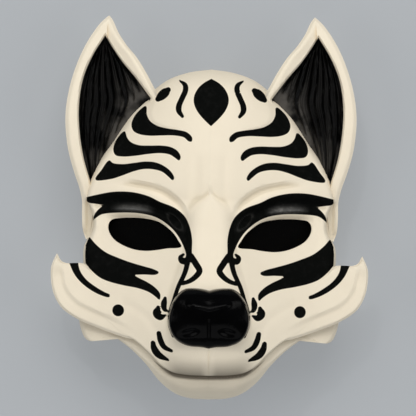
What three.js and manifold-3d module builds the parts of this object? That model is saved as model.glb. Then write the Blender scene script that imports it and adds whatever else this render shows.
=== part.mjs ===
// A fox mask cast in resin, lying on its back rim: +Z points out of the face, +Y to the ears
// and +X to the viewer's right. Millimetres. The origin is in the middle of the mask's outline,
// on the surface that the rim rests on.
import * as THREE from "three";
import { mergeVertices } from "three/addons/utils/BufferGeometryUtils.js";
import Module from "manifold-3d";

const wasm = await Module();
wasm.setup();

// Driving dimensions of the mask
const maskHeight = 248.5; // ear tips to chin
const maskWidth = 204.4; // cheek tuft to cheek tuft
const maskDepth = 118; // back rim to the front of the nose
const wall = 4; // thickness of the casting
const earThickness = 10; // ear, from its cream rim to its back
const earOuterRim = 7; // cream rim round the dark inside of the ear, on its outer side
const earInnerRim = 8.4; // the same on the side of the crown
const earRecess = 6; // depth of the inside of the ear below its rim
const furStrands = 7; // carved strands of fur side by side in each ear
const furRelief = 1.4; // height of a strand over the furrow beside it
const tuftThickness = 7; // cheek tuft at its root
const lipStep = 8; // how far the lower jaw lies behind the upper lip
const browRise = 2.4; // brow over the face above it
const browFurrowDepth = 2.4; // the line carved over the brow
const tuftCreaseDepth = 1.3; // the crease between cheek and cheek tuft
const lidRim = 1.5; // from the face down to the edge of the eye socket
const lidDepth = 11; // how deep the socket would be in the middle of the eye
const lidBacking = 2.5; // least thickness behind the socket

// Driving dimensions of the eye screens and the strap pads
const screenThickness = 1;
const screenLap = 4; // how far a screen reaches past the eye opening
const seatMargin = 1.2; // the flat seat reaches this far past the screen
const glueGap = 0.3; // between the seat and the screen
const strapPadHeight = 22; // along Y
const strapPadDepth = 18; // along Z
const strapPadProud = 3; // how far a pad stands in from the inner wall
const strapPadLift = 6; // from the rim to the pad
const strapPadPlace = -35; // below the middle of the mask

// The carving is drawn on a sheet of these sizes, in units that are millimetres at full size
const sheetHeight = 248.5;
const sheetWidth = 204.4;
const sheetDepth = 118;
const xScale = maskWidth / sheetWidth;
const yScale = maskHeight / sheetHeight;
const zScale = maskDepth / sheetDepth;
const wallX = wall / xScale;
const wallY = wall / yScale;
const wallZ = wall / zScale;
const overall = 2 * sheetDepth; // cutters reach this far up

// Outlines on the sheet: distance from the middle line, height above the middle of the sheet
const faceOutline = [
  [0, 90.6], [14.2, 88.6], [27.5, 84], [37.8, 77.6], [43.6, 73.4], [53.8, 60.6], [65.4, 41.9],
  [73, 30.8], [78.9, 18], [81.2, 9.5], [81.3, 4.5], [79.4, 0.5], [77.3, -4], [76.4, -10],
  [77.2, -15.5], [79.8, -20.5], [82.2, -26], [82.6, -34], [81.6, -46], [79, -58], [73, -69.5],
  [64.3, -76.3], [58.3, -80.6], [48.5, -85.3], [38.3, -93.4], [30, -101.2], [23, -105.2],
  [14.3, -106.8], [0, -107.3],
];
const jawOutline = [
  [0, -5], [40, -8], [70, -18], [80, -35], [84, -55], [85.2, -68], [84.6, -75], [83, -81],
  [81, -85], [78.6, -86.8], [76, -86], [73, -84.3], [67, -82.9], [62, -83.7], [56.5, -87],
  [50.5, -91.4], [41.2, -100.6], [31.5, -112.8], [21.5, -120.6], [11.8, -123.7], [0, -124.5],
];
const noseOutline = [
  [0, -51.6], [4, -50.7], [8, -50.2], [14.6, -50.6], [20.4, -54.6], [23.6, -63], [24.6, -70.6],
  [22.9, -78.2], [19.4, -83.4], [12.9, -86.8], [4, -87.6], [0, -88.4],
];
const eyeOutline = [
  [65.5, -11.5], [63.5, -8.2], [56.9, -6.9], [48.7, -6.7], [40.6, -7.3], [33.3, -9],
  [27.8, -12.3], [23.2, -16.3], [20, -20.9], [18, -24.8], [27.8, -26.2], [34.1, -27.3],
  [41.3, -27.9], [48.5, -27.1], [55.9, -24.5], [61.6, -20.9], [64.9, -16.2],
];
const socketOutline = [
  [15.2, -26.5], [18.8, -20.1], [23.4, -13.9], [30.6, -8.1], [37, -5.2], [46, -3.5],
  [58.5, -3.3], [65.5, -4.6], [69, -8], [67, -13], [58, -18], [42, -21], [26, -22.5],
];
const earOuterEdge = [
  [80.2, -21], [82.2, -15.5], [82.9, -5.5], [83, 4.2], [84.9, 13], [88.1, 22.2], [92.3, 37.8],
  [94.1, 56.9], [92.6, 72.4], [88, 89.9], [81.2, 105.6], [72.6, 118.6], [66.7, 124.2],
];
const earInnerEdge = [
  [74, -18], [70, -6], [66, 6], [59.5, 18], [50.5, 34], [40, 52], [33, 68], [38, 79.3],
  [48.1, 96.4], [55.2, 105], [60.4, 112.8], [64.2, 120.9], [66.7, 124.2],
];
const tuftOuterEdge = [
  [44, -84.6], [52.5, -83.4], [61.3, -81], [73.4, -76.8], [83.8, -72.6], [95.1, -64.9],
  [100.4, -55.5], [102.2, -45.2], [101.8, -38], [98.4, -30.1],
];
const tuftInnerEdge = [
  [45, -66], [54, -58], [64, -50], [74, -42], [81, -36.6], [87, -36.2], [92, -36.3],
  [95.6, -34.8], [98.1, -30.3],
];
const browCrest = [
  [13.4, -11.5], [16.4, -5.6], [22.4, -0.5], [32.6, 3.6], [39.4, 6.9], [49.6, 9.4],
  [61.5, 9.6], [73.3, 7.4],
];
const browFurrow = [
  [13.2, -6.4], [15.6, 1.2], [20.7, 7.1], [29.3, 13], [39.5, 16.2], [49.7, 17.8],
  [54.7, 17.8], [66.6, 16.3],
];
const tuftCrease = [
  [94, -42], [92, -51.2], [84.9, -60], [72.9, -65.8], [61, -70.8], [53, -75],
];

// The lower edge's cut under the chin, as [height above the middle, height over the rim]
const neckProfile = [[-76, -6], [-80, 2], [-88, 16], [-100, 27], [-113, 33], [-130, 36]];
const neckHalfSpan = 67;

// Heights on the sheet, as [height above the middle, value] in rising order
const domeCrest = [
  [-125, 66], [-75, 66], [-50, 65], [-25, 65.5], [-5, 68.5], [12, 71], [30, 70], [53, 65.5],
  [70, 59.5], [80, 54], [92, 44],
];
const domeDrop = [
  [-125, 16], [-70, 18], [-40, 20], [-15, 26], [0, 31], [20, 36], [50, 46], [70, 62], [92, 76],
];
const snoutRise = [
  [-125, 22], [-112, 29], [-98, 34], [-86, 37], [-75, 38], [-65, 37], [-50, 32], [-35, 23],
  [-20, 13], [-8, 5], [5, 0],
];
const snoutReach = [[-125, 46], [-98, 49], [-80, 46], [-65, 42], [-50, 36], [-35, 32], [-20, 30]];
const snoutPower = [[-98, 2.3], [-80, 2], [-60, 1.6], [-40, 1.5]];
const muzzleCrest = [
  [-106, 84], [-98, 93], [-91, 100], [-86, 104], [-70, 107], [-54, 103], [-45, 98.5],
  [-30, 90], [-15, 82.5], [0, 77], [14, 72.5], [26, 66], [90, 30],
];
const muzzleHalfWidth = [
  [-106, 20], [-98, 22], [-91, 23.5], [-85, 24.6], [-80, 25.6], [-67, 26], [-60, 25.4],
  [-52, 24], [-45, 22.4], [-33, 18.4], [-27, 17], [-15, 16], [-8, 13.8], [0, 9.6], [7, 5],
  [13, 1.6], [17, 1],
];
const muzzlePower = [[-98, 2.5], [-88, 4], [-75, 6], [-58, 4], [-45, 3], [-20, 4.5], [0, 3]];
const noseCrest = [
  [-90, 103], [-86, 108], [-81, 113], [-74, 117], [-66, 118], [-60, 115], [-55, 110.5],
  [-51, 107],
];
const faceRoll = [
  [-107, 4.5], [-96, 4], [-75, 4], [-60, 6], [-45, 8], [-28, 8], [-18, 5], [-10, 4], [0, 4],
  [8, 5], [16, 6], [40, 6.5], [73, 9], [80, 13], [90, 17],
];
const jawRoll = [[-125, 7], [-90, 5], [-60, 6]];
const noseRoll = [[-90, 4.5], [-52, 3.5]];
const jawBehind = [[0, 1], [30, 0.9], [50, 0.95], [66, 1.2], [80, 1.8]];
const earLevel = [[0, 33], [0.15, 36], [0.35, 40], [0.6, 40], [1, 33]];

// Smooth value at a place between [place, value] pairs in rising order of place.
function keyed(pairs, at) {
  const last = pairs.length - 1;
  if (at <= pairs[0][0]) return pairs[0][1];
  if (at >= pairs[last][0]) return pairs[last][1];
  let k = 0;
  while (at > pairs[k + 1][0]) k++;
  const slope = (i) => {
    const a = pairs[Math.max(i - 1, 0)];
    const b = pairs[Math.min(i + 1, last)];
    return (b[1] - a[1]) / (b[0] - a[0]);
  };
  const span = pairs[k + 1][0] - pairs[k][0];
  const t = (at - pairs[k][0]) / span;
  const t2 = t * t;
  const t3 = t2 * t;
  return (2 * t3 - 3 * t2 + 1) * pairs[k][1] + (t3 - 2 * t2 + t) * span * slope(k)
    + (3 * t2 - 2 * t3) * pairs[k + 1][1] + (t3 - t2) * span * slope(k + 1);
}

function smoothStep(low, high, at) {
  return THREE.MathUtils.smoothstep(at, low, high);
}

// Points at equal steps along a smooth curve through the given sheet points.
function along(points, count, closed = false) {
  const path = points.map(([x, y]) => new THREE.Vector3(x, y, 0));
  const curve = new THREE.CatmullRomCurve3(path, closed, "centripetal");
  return curve.getSpacedPoints(count).map((p) => [p.x, p.y]);
}

// Unit normals to the left of the way along a row of points.
function normals(points, closed = false) {
  const n = points.length;
  return points.map((_, i) => {
    const a = points[closed ? (i + n - 1) % n : Math.max(i - 1, 0)];
    const b = points[closed ? (i + 1) % n : Math.min(i + 1, n - 1)];
    const length = Math.hypot(b[0] - a[0], b[1] - a[1]);
    return [-(b[1] - a[1]) / length, (b[0] - a[0]) / length];
  });
}

// A solid from rings of equal count, joined ring to ring. A first or last ring that is one point,
// or that runs out and back on itself, closes the end. Rings are in sheet units.
function ringSolid(rings) {
  const count = rings[0].length;
  const positions = rings.flat().flatMap(([x, y, z]) => [x * xScale, y * yScale, z * zScale]);
  const index = [];
  for (let r = 0; r + 1 < rings.length; r++) {
    for (let i = 0; i < count; i++) {
      const a = r * count + i;
      const b = r * count + ((i + 1) % count);
      index.push(a, b, b + count, a, b + count, a + count);
    }
  }
  const loose = new THREE.BufferGeometry();
  loose.setAttribute("position", new THREE.Float32BufferAttribute(positions, 3));
  loose.setIndex(index);
  const merged = mergeVertices(loose, 1e-3);
  const at = merged.attributes.position;
  const found = merged.index.array;
  const corners = [];
  for (let i = 0; i < found.length; i += 3) {
    const [a, b, c] = found.slice(i, i + 3);
    if (a !== b && b !== c && c !== a) corners.push([a, b, c]);
  }
  const corner = (i) => new THREE.Vector3().fromBufferAttribute(at, i);
  const volume = corners.reduce(
    (sum, [a, b, c]) => sum + corner(a).dot(corner(b).cross(corner(c))), 0);
  const facing = volume < 0 ? corners.map(([a, b, c]) => [a, c, b]) : corners;
  return new wasm.Manifold(new wasm.Mesh({
    numProp: 3,
    vertProperties: new Float32Array(at.array),
    triVerts: new Uint32Array(facing.flat()),
  }));
}

const mirrored = (rings) => rings.map((ring) => ring.map(([x, y, z]) => [-x, y, z]));

// A ring solid and its mirror image on the other side of the middle line.
const bothSides = (rings) => ringSolid(rings).add(ringSolid(mirrored(rings)));

// Height of the face without muzzle and nose: a dome that drops towards the sides, swollen at the
// snout and hollowed round the eyes.
function faceHeight(x, y) {
  const across = Math.abs(x);
  const fall = Math.sin((Math.PI / 2) * Math.min(across / 104, 1)) ** 2;
  const dome = keyed(domeCrest, y) - keyed(domeDrop, y) * fall;
  const snout = Math.exp(-((across / keyed(snoutReach, y)) ** keyed(snoutPower, y)));
  const socketReach = Math.hypot((across - 46) / 31, (y + 12) / 16);
  return dome + keyed(snoutRise, y) * snout - 4 * Math.exp(-(socketReach ** 2.6));
}

// The outer side of the face, with its lip pads and the tuck below them.
function frontHeight(x, y) {
  const across = Math.abs(x);
  const pads = Math.exp(-(((across - 17) / 10) ** 2) - ((y + 94) / 8) ** 2);
  const tuck = (1 - smoothStep(-107, -97, y)) * (1 - smoothStep(20, 34, across));
  return faceHeight(x, y) + 2.6 * pads - 3 * tuck;
}

// Height of the lower jaw, which follows the face behind the lip and falls back towards its ends.
function jawHeight(x, y) {
  return faceHeight(x, y) - lipStep * keyed(jawBehind, Math.abs(x));
}

// Height of the muzzle, which falls from its crest as a power of the way to its foot.
function muzzleHeight(x, y) {
  const crest = keyed(muzzleCrest, y);
  const halfWidth = keyed(muzzleHalfWidth, y);
  const fall = Math.max(crest - faceHeight(halfWidth, y) + 2, 5);
  return crest - fall * Math.min(Math.abs(x) / halfWidth, 1.6) ** keyed(muzzlePower, y);
}

// Height of the nose, which falls a little from its crest to both sides.
function noseHeight(x, y) {
  return keyed(noseCrest, y) - 2.2 * (x / 20) ** 2;
}

// The height of the inner side of the wall under a height function, squarely behind its slope.
function innerSide(height) {
  const step = 0.5;
  return (x, y) => {
    const gx = (height(x + step, y) - height(x - step, y)) / (2 * step);
    const gy = (height(x, y + step) - height(x, y - step)) / (2 * step);
    return height(x, y) - wallZ * Math.min(Math.hypot(1, gx, gy), 1.7);
  };
}

// A cushion-shaped solid under a height function. Rows fan out from a spine on the middle line to
// the outline, and the last stretch of each row rolls over to the base as a quarter superellipse.
// inset moves the outline in and the height down, to hollow the same form.
function cushion({
  outline, rows, flatSteps, rollSteps, spine, height, roll, inset, floor, base = () => 0,
}) {
  const border = along(outline, rows);
  const facing = normals(border);
  facing[0] = [0, 1];
  facing[rows] = [0, -1];
  const half = border.map(([x, y], i) => [
    Math.max(x - (inset ? wallX * Math.abs(facing[i][0]) : 0), 0),
    y - (inset ? wallY * facing[i][1] : 0),
    spine[0] + ((spine[1] - spine[0]) * i) / rows,
  ]);
  half[0][0] = 0;
  half[rows][0] = 0;
  const roundness = 2 / 2.6;
  const rings = [];
  const ringAt = (place) => {
    const right = half.map(place);
    const left = right.slice(1, -1).reverse().map(([x, y, z]) => [-x, y, z]);
    return [...right, ...left];
  };
  const depthAt = inset ? innerSide(height) : height;
  for (let k = 0; k <= flatSteps + rollSteps; k++) {
    rings.push(ringAt(([bx, by, sy]) => {
      const length = Math.hypot(bx, by - sy);
      const rolled = Math.min(keyed(roll, by) / length, 0.9);
      const flat = k <= flatSteps;
      const turn = flat ? 0 : ((k - flatSteps) / rollSteps) * (Math.PI / 2);
      const out = flat
        ? (k / flatSteps) * (1 - rolled)
        : 1 - rolled * (1 - Math.sin(turn) ** roundness);
      const x = bx * out;
      const y = sy + (by - sy) * out;
      const share = flat ? 1 : Math.max(Math.cos(turn), 0) ** roundness;
      const low = base(x, y);
      return [x, y, low + (depthAt(x, y) - low) * share];
    }));
  }
  rings.push(ringAt(([bx, by]) => [bx, by, floor]));
  rings.push(ringAt(([, , sy]) => [0, sy, floor]));
  return ringSolid(rings);
}

const faceForm = (inset) => cushion({
  outline: faceOutline,
  rows: inset ? 22 : 36,
  flatSteps: inset ? 6 : 10,
  rollSteps: inset ? 2 : 3,
  spine: [64, -84],
  height: inset ? faceHeight : frontHeight,
  roll: faceRoll,
  inset,
  floor: inset ? -wall : -wall / 2,
});

const jawForm = (inset) => cushion({
  outline: jawOutline,
  rows: inset ? 14 : 22,
  flatSteps: inset ? 2 : 4,
  rollSteps: inset ? 2 : 3,
  spine: [-30, -108],
  height: jawHeight,
  roll: jawRoll,
  inset,
  floor: inset ? -wall : -wall / 2,
});

const noseForm = () => cushion({
  outline: noseOutline,
  rows: 14,
  flatSteps: 3,
  rollSteps: 3,
  spine: [-60, -76],
  height: noseHeight,
  roll: noseRoll,
  floor: 70,
  base: (x, y) => Math.max(faceHeight(x, y), muzzleHeight(x, y)) - 2,
});

// Superellipse arch from one foot over the top to the other, then straight back under the feet.
function archRing(y, halfWidth, crest, foot, steps, roundness) {
  const ring = [];
  for (let i = 0; i <= steps; i++) {
    const turn = Math.PI * (i / steps - 0.5);
    const s = Math.sin(turn);
    const x = halfWidth * Math.sign(s) * Math.abs(s) ** (2 / roundness);
    ring.push([x, y, foot + (crest - foot) * Math.max(Math.cos(turn), 0) ** (2 / roundness)]);
  }
  return ring;
}

// Adds an end to rings by closing each end ring to the middle of it.
function closed(rings) {
  const middle = (ring) => {
    const sum = ring.reduce((s, p) => [s[0] + p[0], s[1] + p[1], s[2] + p[2]], [0, 0, 0]);
    return ring.map(() => sum.map((v) => v / ring.length));
  };
  return [middle(rings[0]), ...rings, middle(rings[rings.length - 1])];
}

// The muzzle: sections across the middle line from between the brows to the nose.
function muzzleForm() {
  const [top, bottom, lengthSteps, crossSteps] = [16, -97, 16, 14];
  const rings = [];
  for (let k = 0; k <= lengthSteps; k++) {
    const y = top + ((bottom - top) * k) / lengthSteps;
    const halfWidth = keyed(muzzleHalfWidth, y);
    const foot = muzzleHeight(halfWidth, y) - wallZ;
    const ring = [];
    for (let i = 0; i <= crossSteps; i++) {
      const x = halfWidth * Math.sin(Math.PI * (i / crossSteps - 0.5));
      ring.push([x, y, muzzleHeight(x, y)]);
    }
    rings.push([...ring, [halfWidth, y, foot], [-halfWidth, y, foot]]);
  }
  return ringSolid(closed(rings));
}

// The hollow in the muzzle and the nose: arches a wall's thickness inside of them.
function muzzleHollow() {
  const reach = (y) => keyed(muzzleHalfWidth, y) - wallX * 1.1;
  const muzzle = [];
  for (let k = 0; k <= 9; k++) {
    const y = -8 - 9 * k;
    const foot = faceHeight(reach(y), y) - 3 * wallZ;
    muzzle.push(archRing(y, reach(y), keyed(muzzleCrest, y) - 1.25 * wallZ, foot, 10, 2.6));
  }
  const nose = [-82, -78, -72, -66, -60, -56].map((y) =>
    archRing(y, reach(y) - 3, keyed(noseCrest, y) - 1.5 * wallZ, 70, 10, 2.6));
  return ringSolid(closed(muzzle)).add(ringSolid(closed(nose)));
}

// A ridge that lies along a path on the face. Its section is half a superellipse over the face.
function ridge(path, steps, halfWidths, heights, sunk) {
  const ridgeSteps = 4;
  const spine = along(path, steps);
  const facing = normals(spine);
  const rings = spine.map(([x, y], i) => {
    const t = i / steps;
    const reach = keyed(halfWidths, t);
    const rise = keyed(heights, t);
    const ring = [];
    for (let j = 0; j <= ridgeSteps; j++) {
      const turn = Math.PI * (j / ridgeSteps - 0.5);
      const s = Math.sin(turn);
      const px = x + facing[i][0] * reach * s;
      const py = y + facing[i][1] * reach * s;
      ring.push([px, py, faceHeight(px, py) + rise * Math.max(Math.cos(turn), 0) ** 0.8 - 0.1]);
    }
    const under = (side) => {
      const px = x + facing[i][0] * reach * side;
      const py = y + facing[i][1] * reach * side;
      return [px, py, faceHeight(px, py) - sunk];
    };
    ring.push(under(1), under(-1));
    return ring;
  });
  return closed(rings);
}

// A furrow along a path on the face: a V whose point lies below the face.
function furrow(path, steps, halfWidths, depth) {
  const spine = along(path, steps);
  const facing = normals(spine);
  return closed(spine.map(([x, y], i) => {
    const reach = 2 * keyed(halfWidths, i / steps);
    const side = (share, rise) => {
      const px = x + facing[i][0] * reach * share;
      const py = y + facing[i][1] * reach * share;
      return [px, py, faceHeight(px, py) + rise];
    };
    return [side(-1, depth), side(1, depth), side(0, -depth)];
  }));
}

// An ear: a leaf between its outer and inner edge, rimmed and hollowed on the front. Its inner
// rim leans into the hollow, which narrows to nothing towards the head.
function earRings() {
  const steps = 16;
  const outer = along(earOuterEdge, steps);
  const inner = along(earInnerEdge, steps);
  const rings = [];
  for (let k = 0; k < steps; k++) {
    const [a, b] = [outer[k], inner[k]];
    const reach = Math.hypot(b[0] - a[0], b[1] - a[1]) / 2;
    const low = -1 + Math.min(earOuterRim / reach, 0.9);
    const high = Math.max(1 - Math.min(earInnerRim / reach, 0.9), low + 0.02);
    const stations = [-1, -1 + (low + 1) * 0.4, low];
    for (let j = 0; j <= 2 * furStrands; j++) {
      stations.push(low + (high - low) * (0.06 + (0.88 * j) / (2 * furStrands)));
    }
    stations.push(high, high + (1 - high) * 0.6, 1);
    const top = keyed(earLevel, k / steps);
    const depth = smoothStep(2, 12, reach) * smoothStep(0.06, 0.2, k / steps);
    const place = (s, z) => [
      a[0] + (b[0] - a[0]) * (s + 1) / 2, a[1] + (b[1] - a[1]) * (s + 1) / 2, z];
    const front = stations.map((s, i) => {
      const inward = (1 - Math.abs(s)) * reach;
      const round = -2.5 * (1 - smoothStep(0, 3, inward));
      const lean = s > 0 ? -3 * smoothStep(0.4, 1, inward / earInnerRim) : 0;
      const inCup = i > 2 && i < stations.length - 3;
      const fur = inCup ? (i % 2 ? furRelief : 0) - earRecess : 0;
      return place(s, top + round + lean + fur * depth);
    });
    const back = [0.97, 0.5, -0.5, -0.97].map((s) =>
      place(s, top - earThickness + 3 * Math.abs(s) ** 3));
    rings.push([...front, ...back]);
  }
  const tip = rings[0].map(() => [...outer[steps], keyed(earLevel, 1) - earThickness / 2]);
  return [...closed(rings).slice(0, -1), tip];
}

// A cheek tuft: a hook between its outer and inner edge that carries the cheek's surface outwards.
function tuftRings() {
  const steps = 13;
  const outer = along(tuftOuterEdge, steps);
  const inner = along(tuftInnerEdge, steps);
  const stations = [-1, -0.88, -0.6, -0.2, 0.2, 0.6, 0.88, 1];
  const rings = [];
  for (let k = 0; k < steps; k++) {
    const [a, b] = [outer[k], inner[k]];
    const reach = Math.hypot(b[0] - a[0], b[1] - a[1]) / 2;
    const lift = 4 * (k / steps) ** 3;
    const thick = tuftThickness * (1 - 0.45 * (k / steps));
    const place = (s, drop) => {
      const x = a[0] + (b[0] - a[0]) * (s + 1) / 2;
      const y = a[1] + (b[1] - a[1]) * (s + 1) / 2;
      return [x, y, faceHeight(x, y) - 0.2 + lift - drop];
    };
    const front = stations.map((s) =>
      place(s, 2 * (1 - smoothStep(0, 1.6, (1 - Math.abs(s)) * reach))));
    const back = [0.9, 0, -0.9].map((s) => place(s, thick));
    rings.push([...front, ...back]);
  }
  const [tx, ty] = tuftOuterEdge[tuftOuterEdge.length - 1];
  const tip = rings[0].map(() => [tx, ty, faceHeight(tx, ty) + 1.5]);
  return [...closed(rings).slice(0, -1), tip];
}

const middleOf = (points) => [0, 1].map((axis) =>
  points.reduce((sum, point) => sum + point[axis], 0) / points.length);

// Upright prism on a closed outline, between two heights given as functions of place.
function prism(outline, low, high) {
  const centre = middleOf(outline);
  const end = (z) => outline.map(() => [...centre, z(...centre)]);
  const edge = (z) => outline.map(([x, y]) => [x, y, z(x, y)]);
  return [end(low), edge(low), edge(high), end(high)];
}

// A closed outline moved outwards by a reach in millimetres. It runs anticlockwise.
function grown(outline, reach) {
  const facing = normals(outline, true);
  return outline.map(([x, y], i) => [
    x - facing[i][0] * reach / xScale, y - facing[i][1] * reach / yScale]);
}

// The flat seat behind an eye: a plane under the face, tilted outwards as the eye socket is.
const eyeEdge = along(eyeOutline, 30, true).slice(0, -1);
const seatEdge = grown(eyeEdge, screenLap + seatMargin);
const seatSlope = (faceHeight(66, -17) - faceHeight(18, -20)) / (66 - 18);
const faceInside = innerSide(faceHeight);
const seatLevel = Math.min(
  ...seatEdge.map(([x, y]) => faceInside(x, y) - seatSlope * x),
  ...eyeEdge.map(([x, y]) => socketFloor(x, y) - lidBacking - seatSlope * x));
const seatPlane = (drop) => (x) => seatLevel + seatSlope * Math.abs(x) - drop / zScale;

// The floor of the eye socket: it starts below the face at the lid's edge and deepens inwards.
function socketFloor(x, y) {
  const [middleX, middleY] = middleOf(socketOutline);
  const way = Math.hypot((x - middleX) / 27, (y - middleY) / 10);
  return faceHeight(x, y) - lidRim - (lidDepth - lidRim) * Math.max(1 - way, 0);
}

// Cuts the eye socket down to its floor.
function socketCut() {
  const edge = along(socketOutline, 16, true).slice(0, -1);
  return prism(edge, socketFloor, () => overall);
}

// The lower edge of the casting, cut up and forward under the chin between the two jaw corners.
function neckCut() {
  const profile = along(neckProfile, 8);
  const loop = [...profile, [neckProfile[neckProfile.length - 1][0], neckProfile[0][1]]];
  const ring = (x) => loop.map(([y, z]) => [x, y, z]);
  return ringSolid(closed([ring(-neckHalfSpan), ring(neckHalfSpan)]));
}

// Flat pads on the inner side walls, where a strap is glued. They reach out past the wall.
function strapPad(side) {
  const sideWall = Math.max(...faceOutline.map(([x]) => x)) * xScale;
  const inner = sideWall - wall - strapPadProud;
  const reach = 5 * wall;
  const box = new THREE.BoxGeometry(reach, strapPadHeight, strapPadDepth);
  box.translate(
    side * (inner + reach / 2), strapPadPlace * yScale, strapPadLift + strapPadDepth / 2);
  box.deleteAttribute("normal");
  box.deleteAttribute("uv");
  const merged = mergeVertices(box);
  return new wasm.Manifold(new wasm.Mesh({
    numProp: 3,
    vertProperties: new Float32Array(merged.attributes.position.array),
    triVerts: new Uint32Array(merged.index.array),
  }));
}

// Everything below the surface that the rim rests on
const ground = ringSolid(closed([-1, 1].map((side) =>
  [[-20, -1], [20, -1], [20, 0], [-20, 0]].map(([y, z]) =>
    [side * sheetWidth, y * sheetHeight / 20, z * sheetDepth]))));

function maskBody() {
  const browWidths = [[0, 2], [0.3, 4], [0.8, 4], [1, 2.6]];
  const browHeights = [[0, 0.3 * browRise], [0.25, browRise], [0.85, browRise], [1, 0.4 * browRise]];
  const solid = faceForm(0)
    .add(jawForm(0))
    .add(muzzleForm())
    .add(bothSides(ridge(browCrest, 10, browWidths, browHeights, 2.5)))
    .subtract(bothSides(furrow(browFurrow, 10, [[0, 0.6], [0.3, 1.6], [0.7, 1.6], [1, 0.6]],
      browFurrowDepth)))
    .subtract(bothSides(socketCut()))
    .add(noseForm())
    .add(bothSides(earRings()))
    .add(bothSides(tuftRings()))
    .subtract(bothSides(furrow(tuftCrease, 8, [[0, 0.8], [0.3, 1.5], [0.7, 1.5], [1, 0.6]],
      tuftCreaseDepth)));
  const hollow = faceForm(1).add(jawForm(1)).add(muzzleHollow());
  const seats = solid.intersect(bothSides(prism(seatEdge, seatPlane(0), () => overall)));
  const pads = solid.intersect(strapPad(1).add(strapPad(-1)));
  return solid
    .subtract(hollow)
    .add(seats)
    .add(pads)
    .subtract(bothSides(prism(eyeEdge, () => -wall, () => overall)))
    .subtract(neckCut())
    .subtract(ground);
}

const screenEdge = grown(eyeEdge, screenLap);
const screenRings = prism(
  screenEdge, seatPlane(glueGap + screenThickness), seatPlane(glueGap));

const resin = new THREE.MeshStandardMaterial({ color: 0xefe4cf, roughness: 0.5, metalness: 0 });
const blackMesh = new THREE.MeshStandardMaterial({ color: 0x050505, roughness: 0.9, metalness: 0 });

// A named mesh from a solid
function piece(name, solid, material) {
  const { vertProperties, triVerts } = solid.getMesh();
  const geometry = new THREE.BufferGeometry();
  geometry.setAttribute("position", new THREE.Float32BufferAttribute(vertProperties, 3));
  geometry.setIndex([...triVerts]);
  geometry.computeVertexNormals();
  const mesh = new THREE.Mesh(geometry, material);
  mesh.name = name;
  return mesh;
}

const mask = new THREE.Group();
mask.add(piece("mask_casting", maskBody(), resin));
mask.add(piece("eye_screen_right", ringSolid(screenRings), blackMesh));
mask.add(piece("eye_screen_left", ringSolid(mirrored(screenRings)), blackMesh));

export default mask;
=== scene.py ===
"""Kitsune mask: a cream resin casting with black painted marks, lying on its back rim.

The casting is worked out as closed surfaces in millimetres on one drawing sheet, joined and
hollowed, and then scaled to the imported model. The marks are outlines and brush strokes on the
same sheet. They sink a little into the face, and their distances are kept on the mesh, where the
paint reads them.
"""

import math

import bpy
import numpy as np
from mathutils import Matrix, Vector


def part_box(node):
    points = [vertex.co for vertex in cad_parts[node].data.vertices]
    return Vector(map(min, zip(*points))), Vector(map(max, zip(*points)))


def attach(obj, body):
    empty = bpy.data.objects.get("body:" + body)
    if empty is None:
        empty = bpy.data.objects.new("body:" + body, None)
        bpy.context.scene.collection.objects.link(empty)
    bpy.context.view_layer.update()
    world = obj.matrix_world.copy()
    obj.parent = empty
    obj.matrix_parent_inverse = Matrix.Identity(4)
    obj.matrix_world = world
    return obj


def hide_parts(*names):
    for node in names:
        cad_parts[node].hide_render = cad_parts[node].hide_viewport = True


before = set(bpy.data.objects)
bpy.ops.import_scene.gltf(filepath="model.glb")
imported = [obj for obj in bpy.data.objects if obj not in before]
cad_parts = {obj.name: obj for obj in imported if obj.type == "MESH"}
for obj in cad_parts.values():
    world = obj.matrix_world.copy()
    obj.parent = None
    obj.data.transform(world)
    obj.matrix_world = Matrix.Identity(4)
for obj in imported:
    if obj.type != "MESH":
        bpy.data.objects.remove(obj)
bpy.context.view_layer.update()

MM = 0.001
QUARTER_TURN = math.pi / 2

# Sizes of the casting and its screens, in millimetres
WALL = 4.0
LIP_STEP = 6.5
ROLL_POWER = 2.6
EAR_THICKNESS = 10.0
EAR_OUTER_RIM = 7.0
EAR_INNER_RIM = 8.4
EAR_RECESS = 6.0
TUFT_THICKNESS = 7.0
TUFT_LIFT = 4.0
NECK_HALF_SPAN = 67
PAD_PROUD = 3.0
PAD_SPAN = (-46, -24)
PAD_LEVELS = (6, 24)
SCREEN_LAP = 4.0
SEAT_LAP = 5.2
SEAT_MARGIN = 1.2
SCREEN_THICKNESS = 1.0
GLUE_GAP = 0.3
WEAVE_PITCH = 0.9
WEAVE_RELIEF = 0.12
CLEAR_ABOVE = 200
CLEAR_BELOW = -10

# Depths and heights of the carving, in millimetres
MARK_DEPTH = 0.6
EYE_HOLLOW = 4.0
BROW_LIFT = 1.6
BROW_OVAL_DEPTH = 1.1
BROW_GROOVE_DEPTH = 3.0
LID_DEPTH = 5.0
TUFT_CREASE_DEPTH = 1.4
CROWN_STEP = 1.3
LIP_VALLEY_DEPTH = 0.8
LIP_PAD_RISE = 2.0
LIP_TUCK = 8.5
PHILTRUM_DEPTH = 1.1
FOREHEAD_KEEL = 0.5
FOREHEAD_FURROW = 0.9
NOSE_LEDGE = 1.3
NOSTRIL_DEPTH = 1.6
FUR_STRANDS = 9

# How far the paint goes: past a mark, down the side walls, as painted shade below the lip, and down
# to the rim
MARK_REACH = 3
PAINTED_WALL = 11
SHADE_PAINT_REACH = 16
RIM_LEVEL = 26

# The finishes of the casting's faces, in the order of its materials
CREAM_FINISH, EAR_FINISH, NOSE_FINISH = range(3)

# The drawing is laid out at one level, as a camera over it sees it
CAMERA_HEIGHT = 2400
DRAWING_LEVEL = 60

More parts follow.
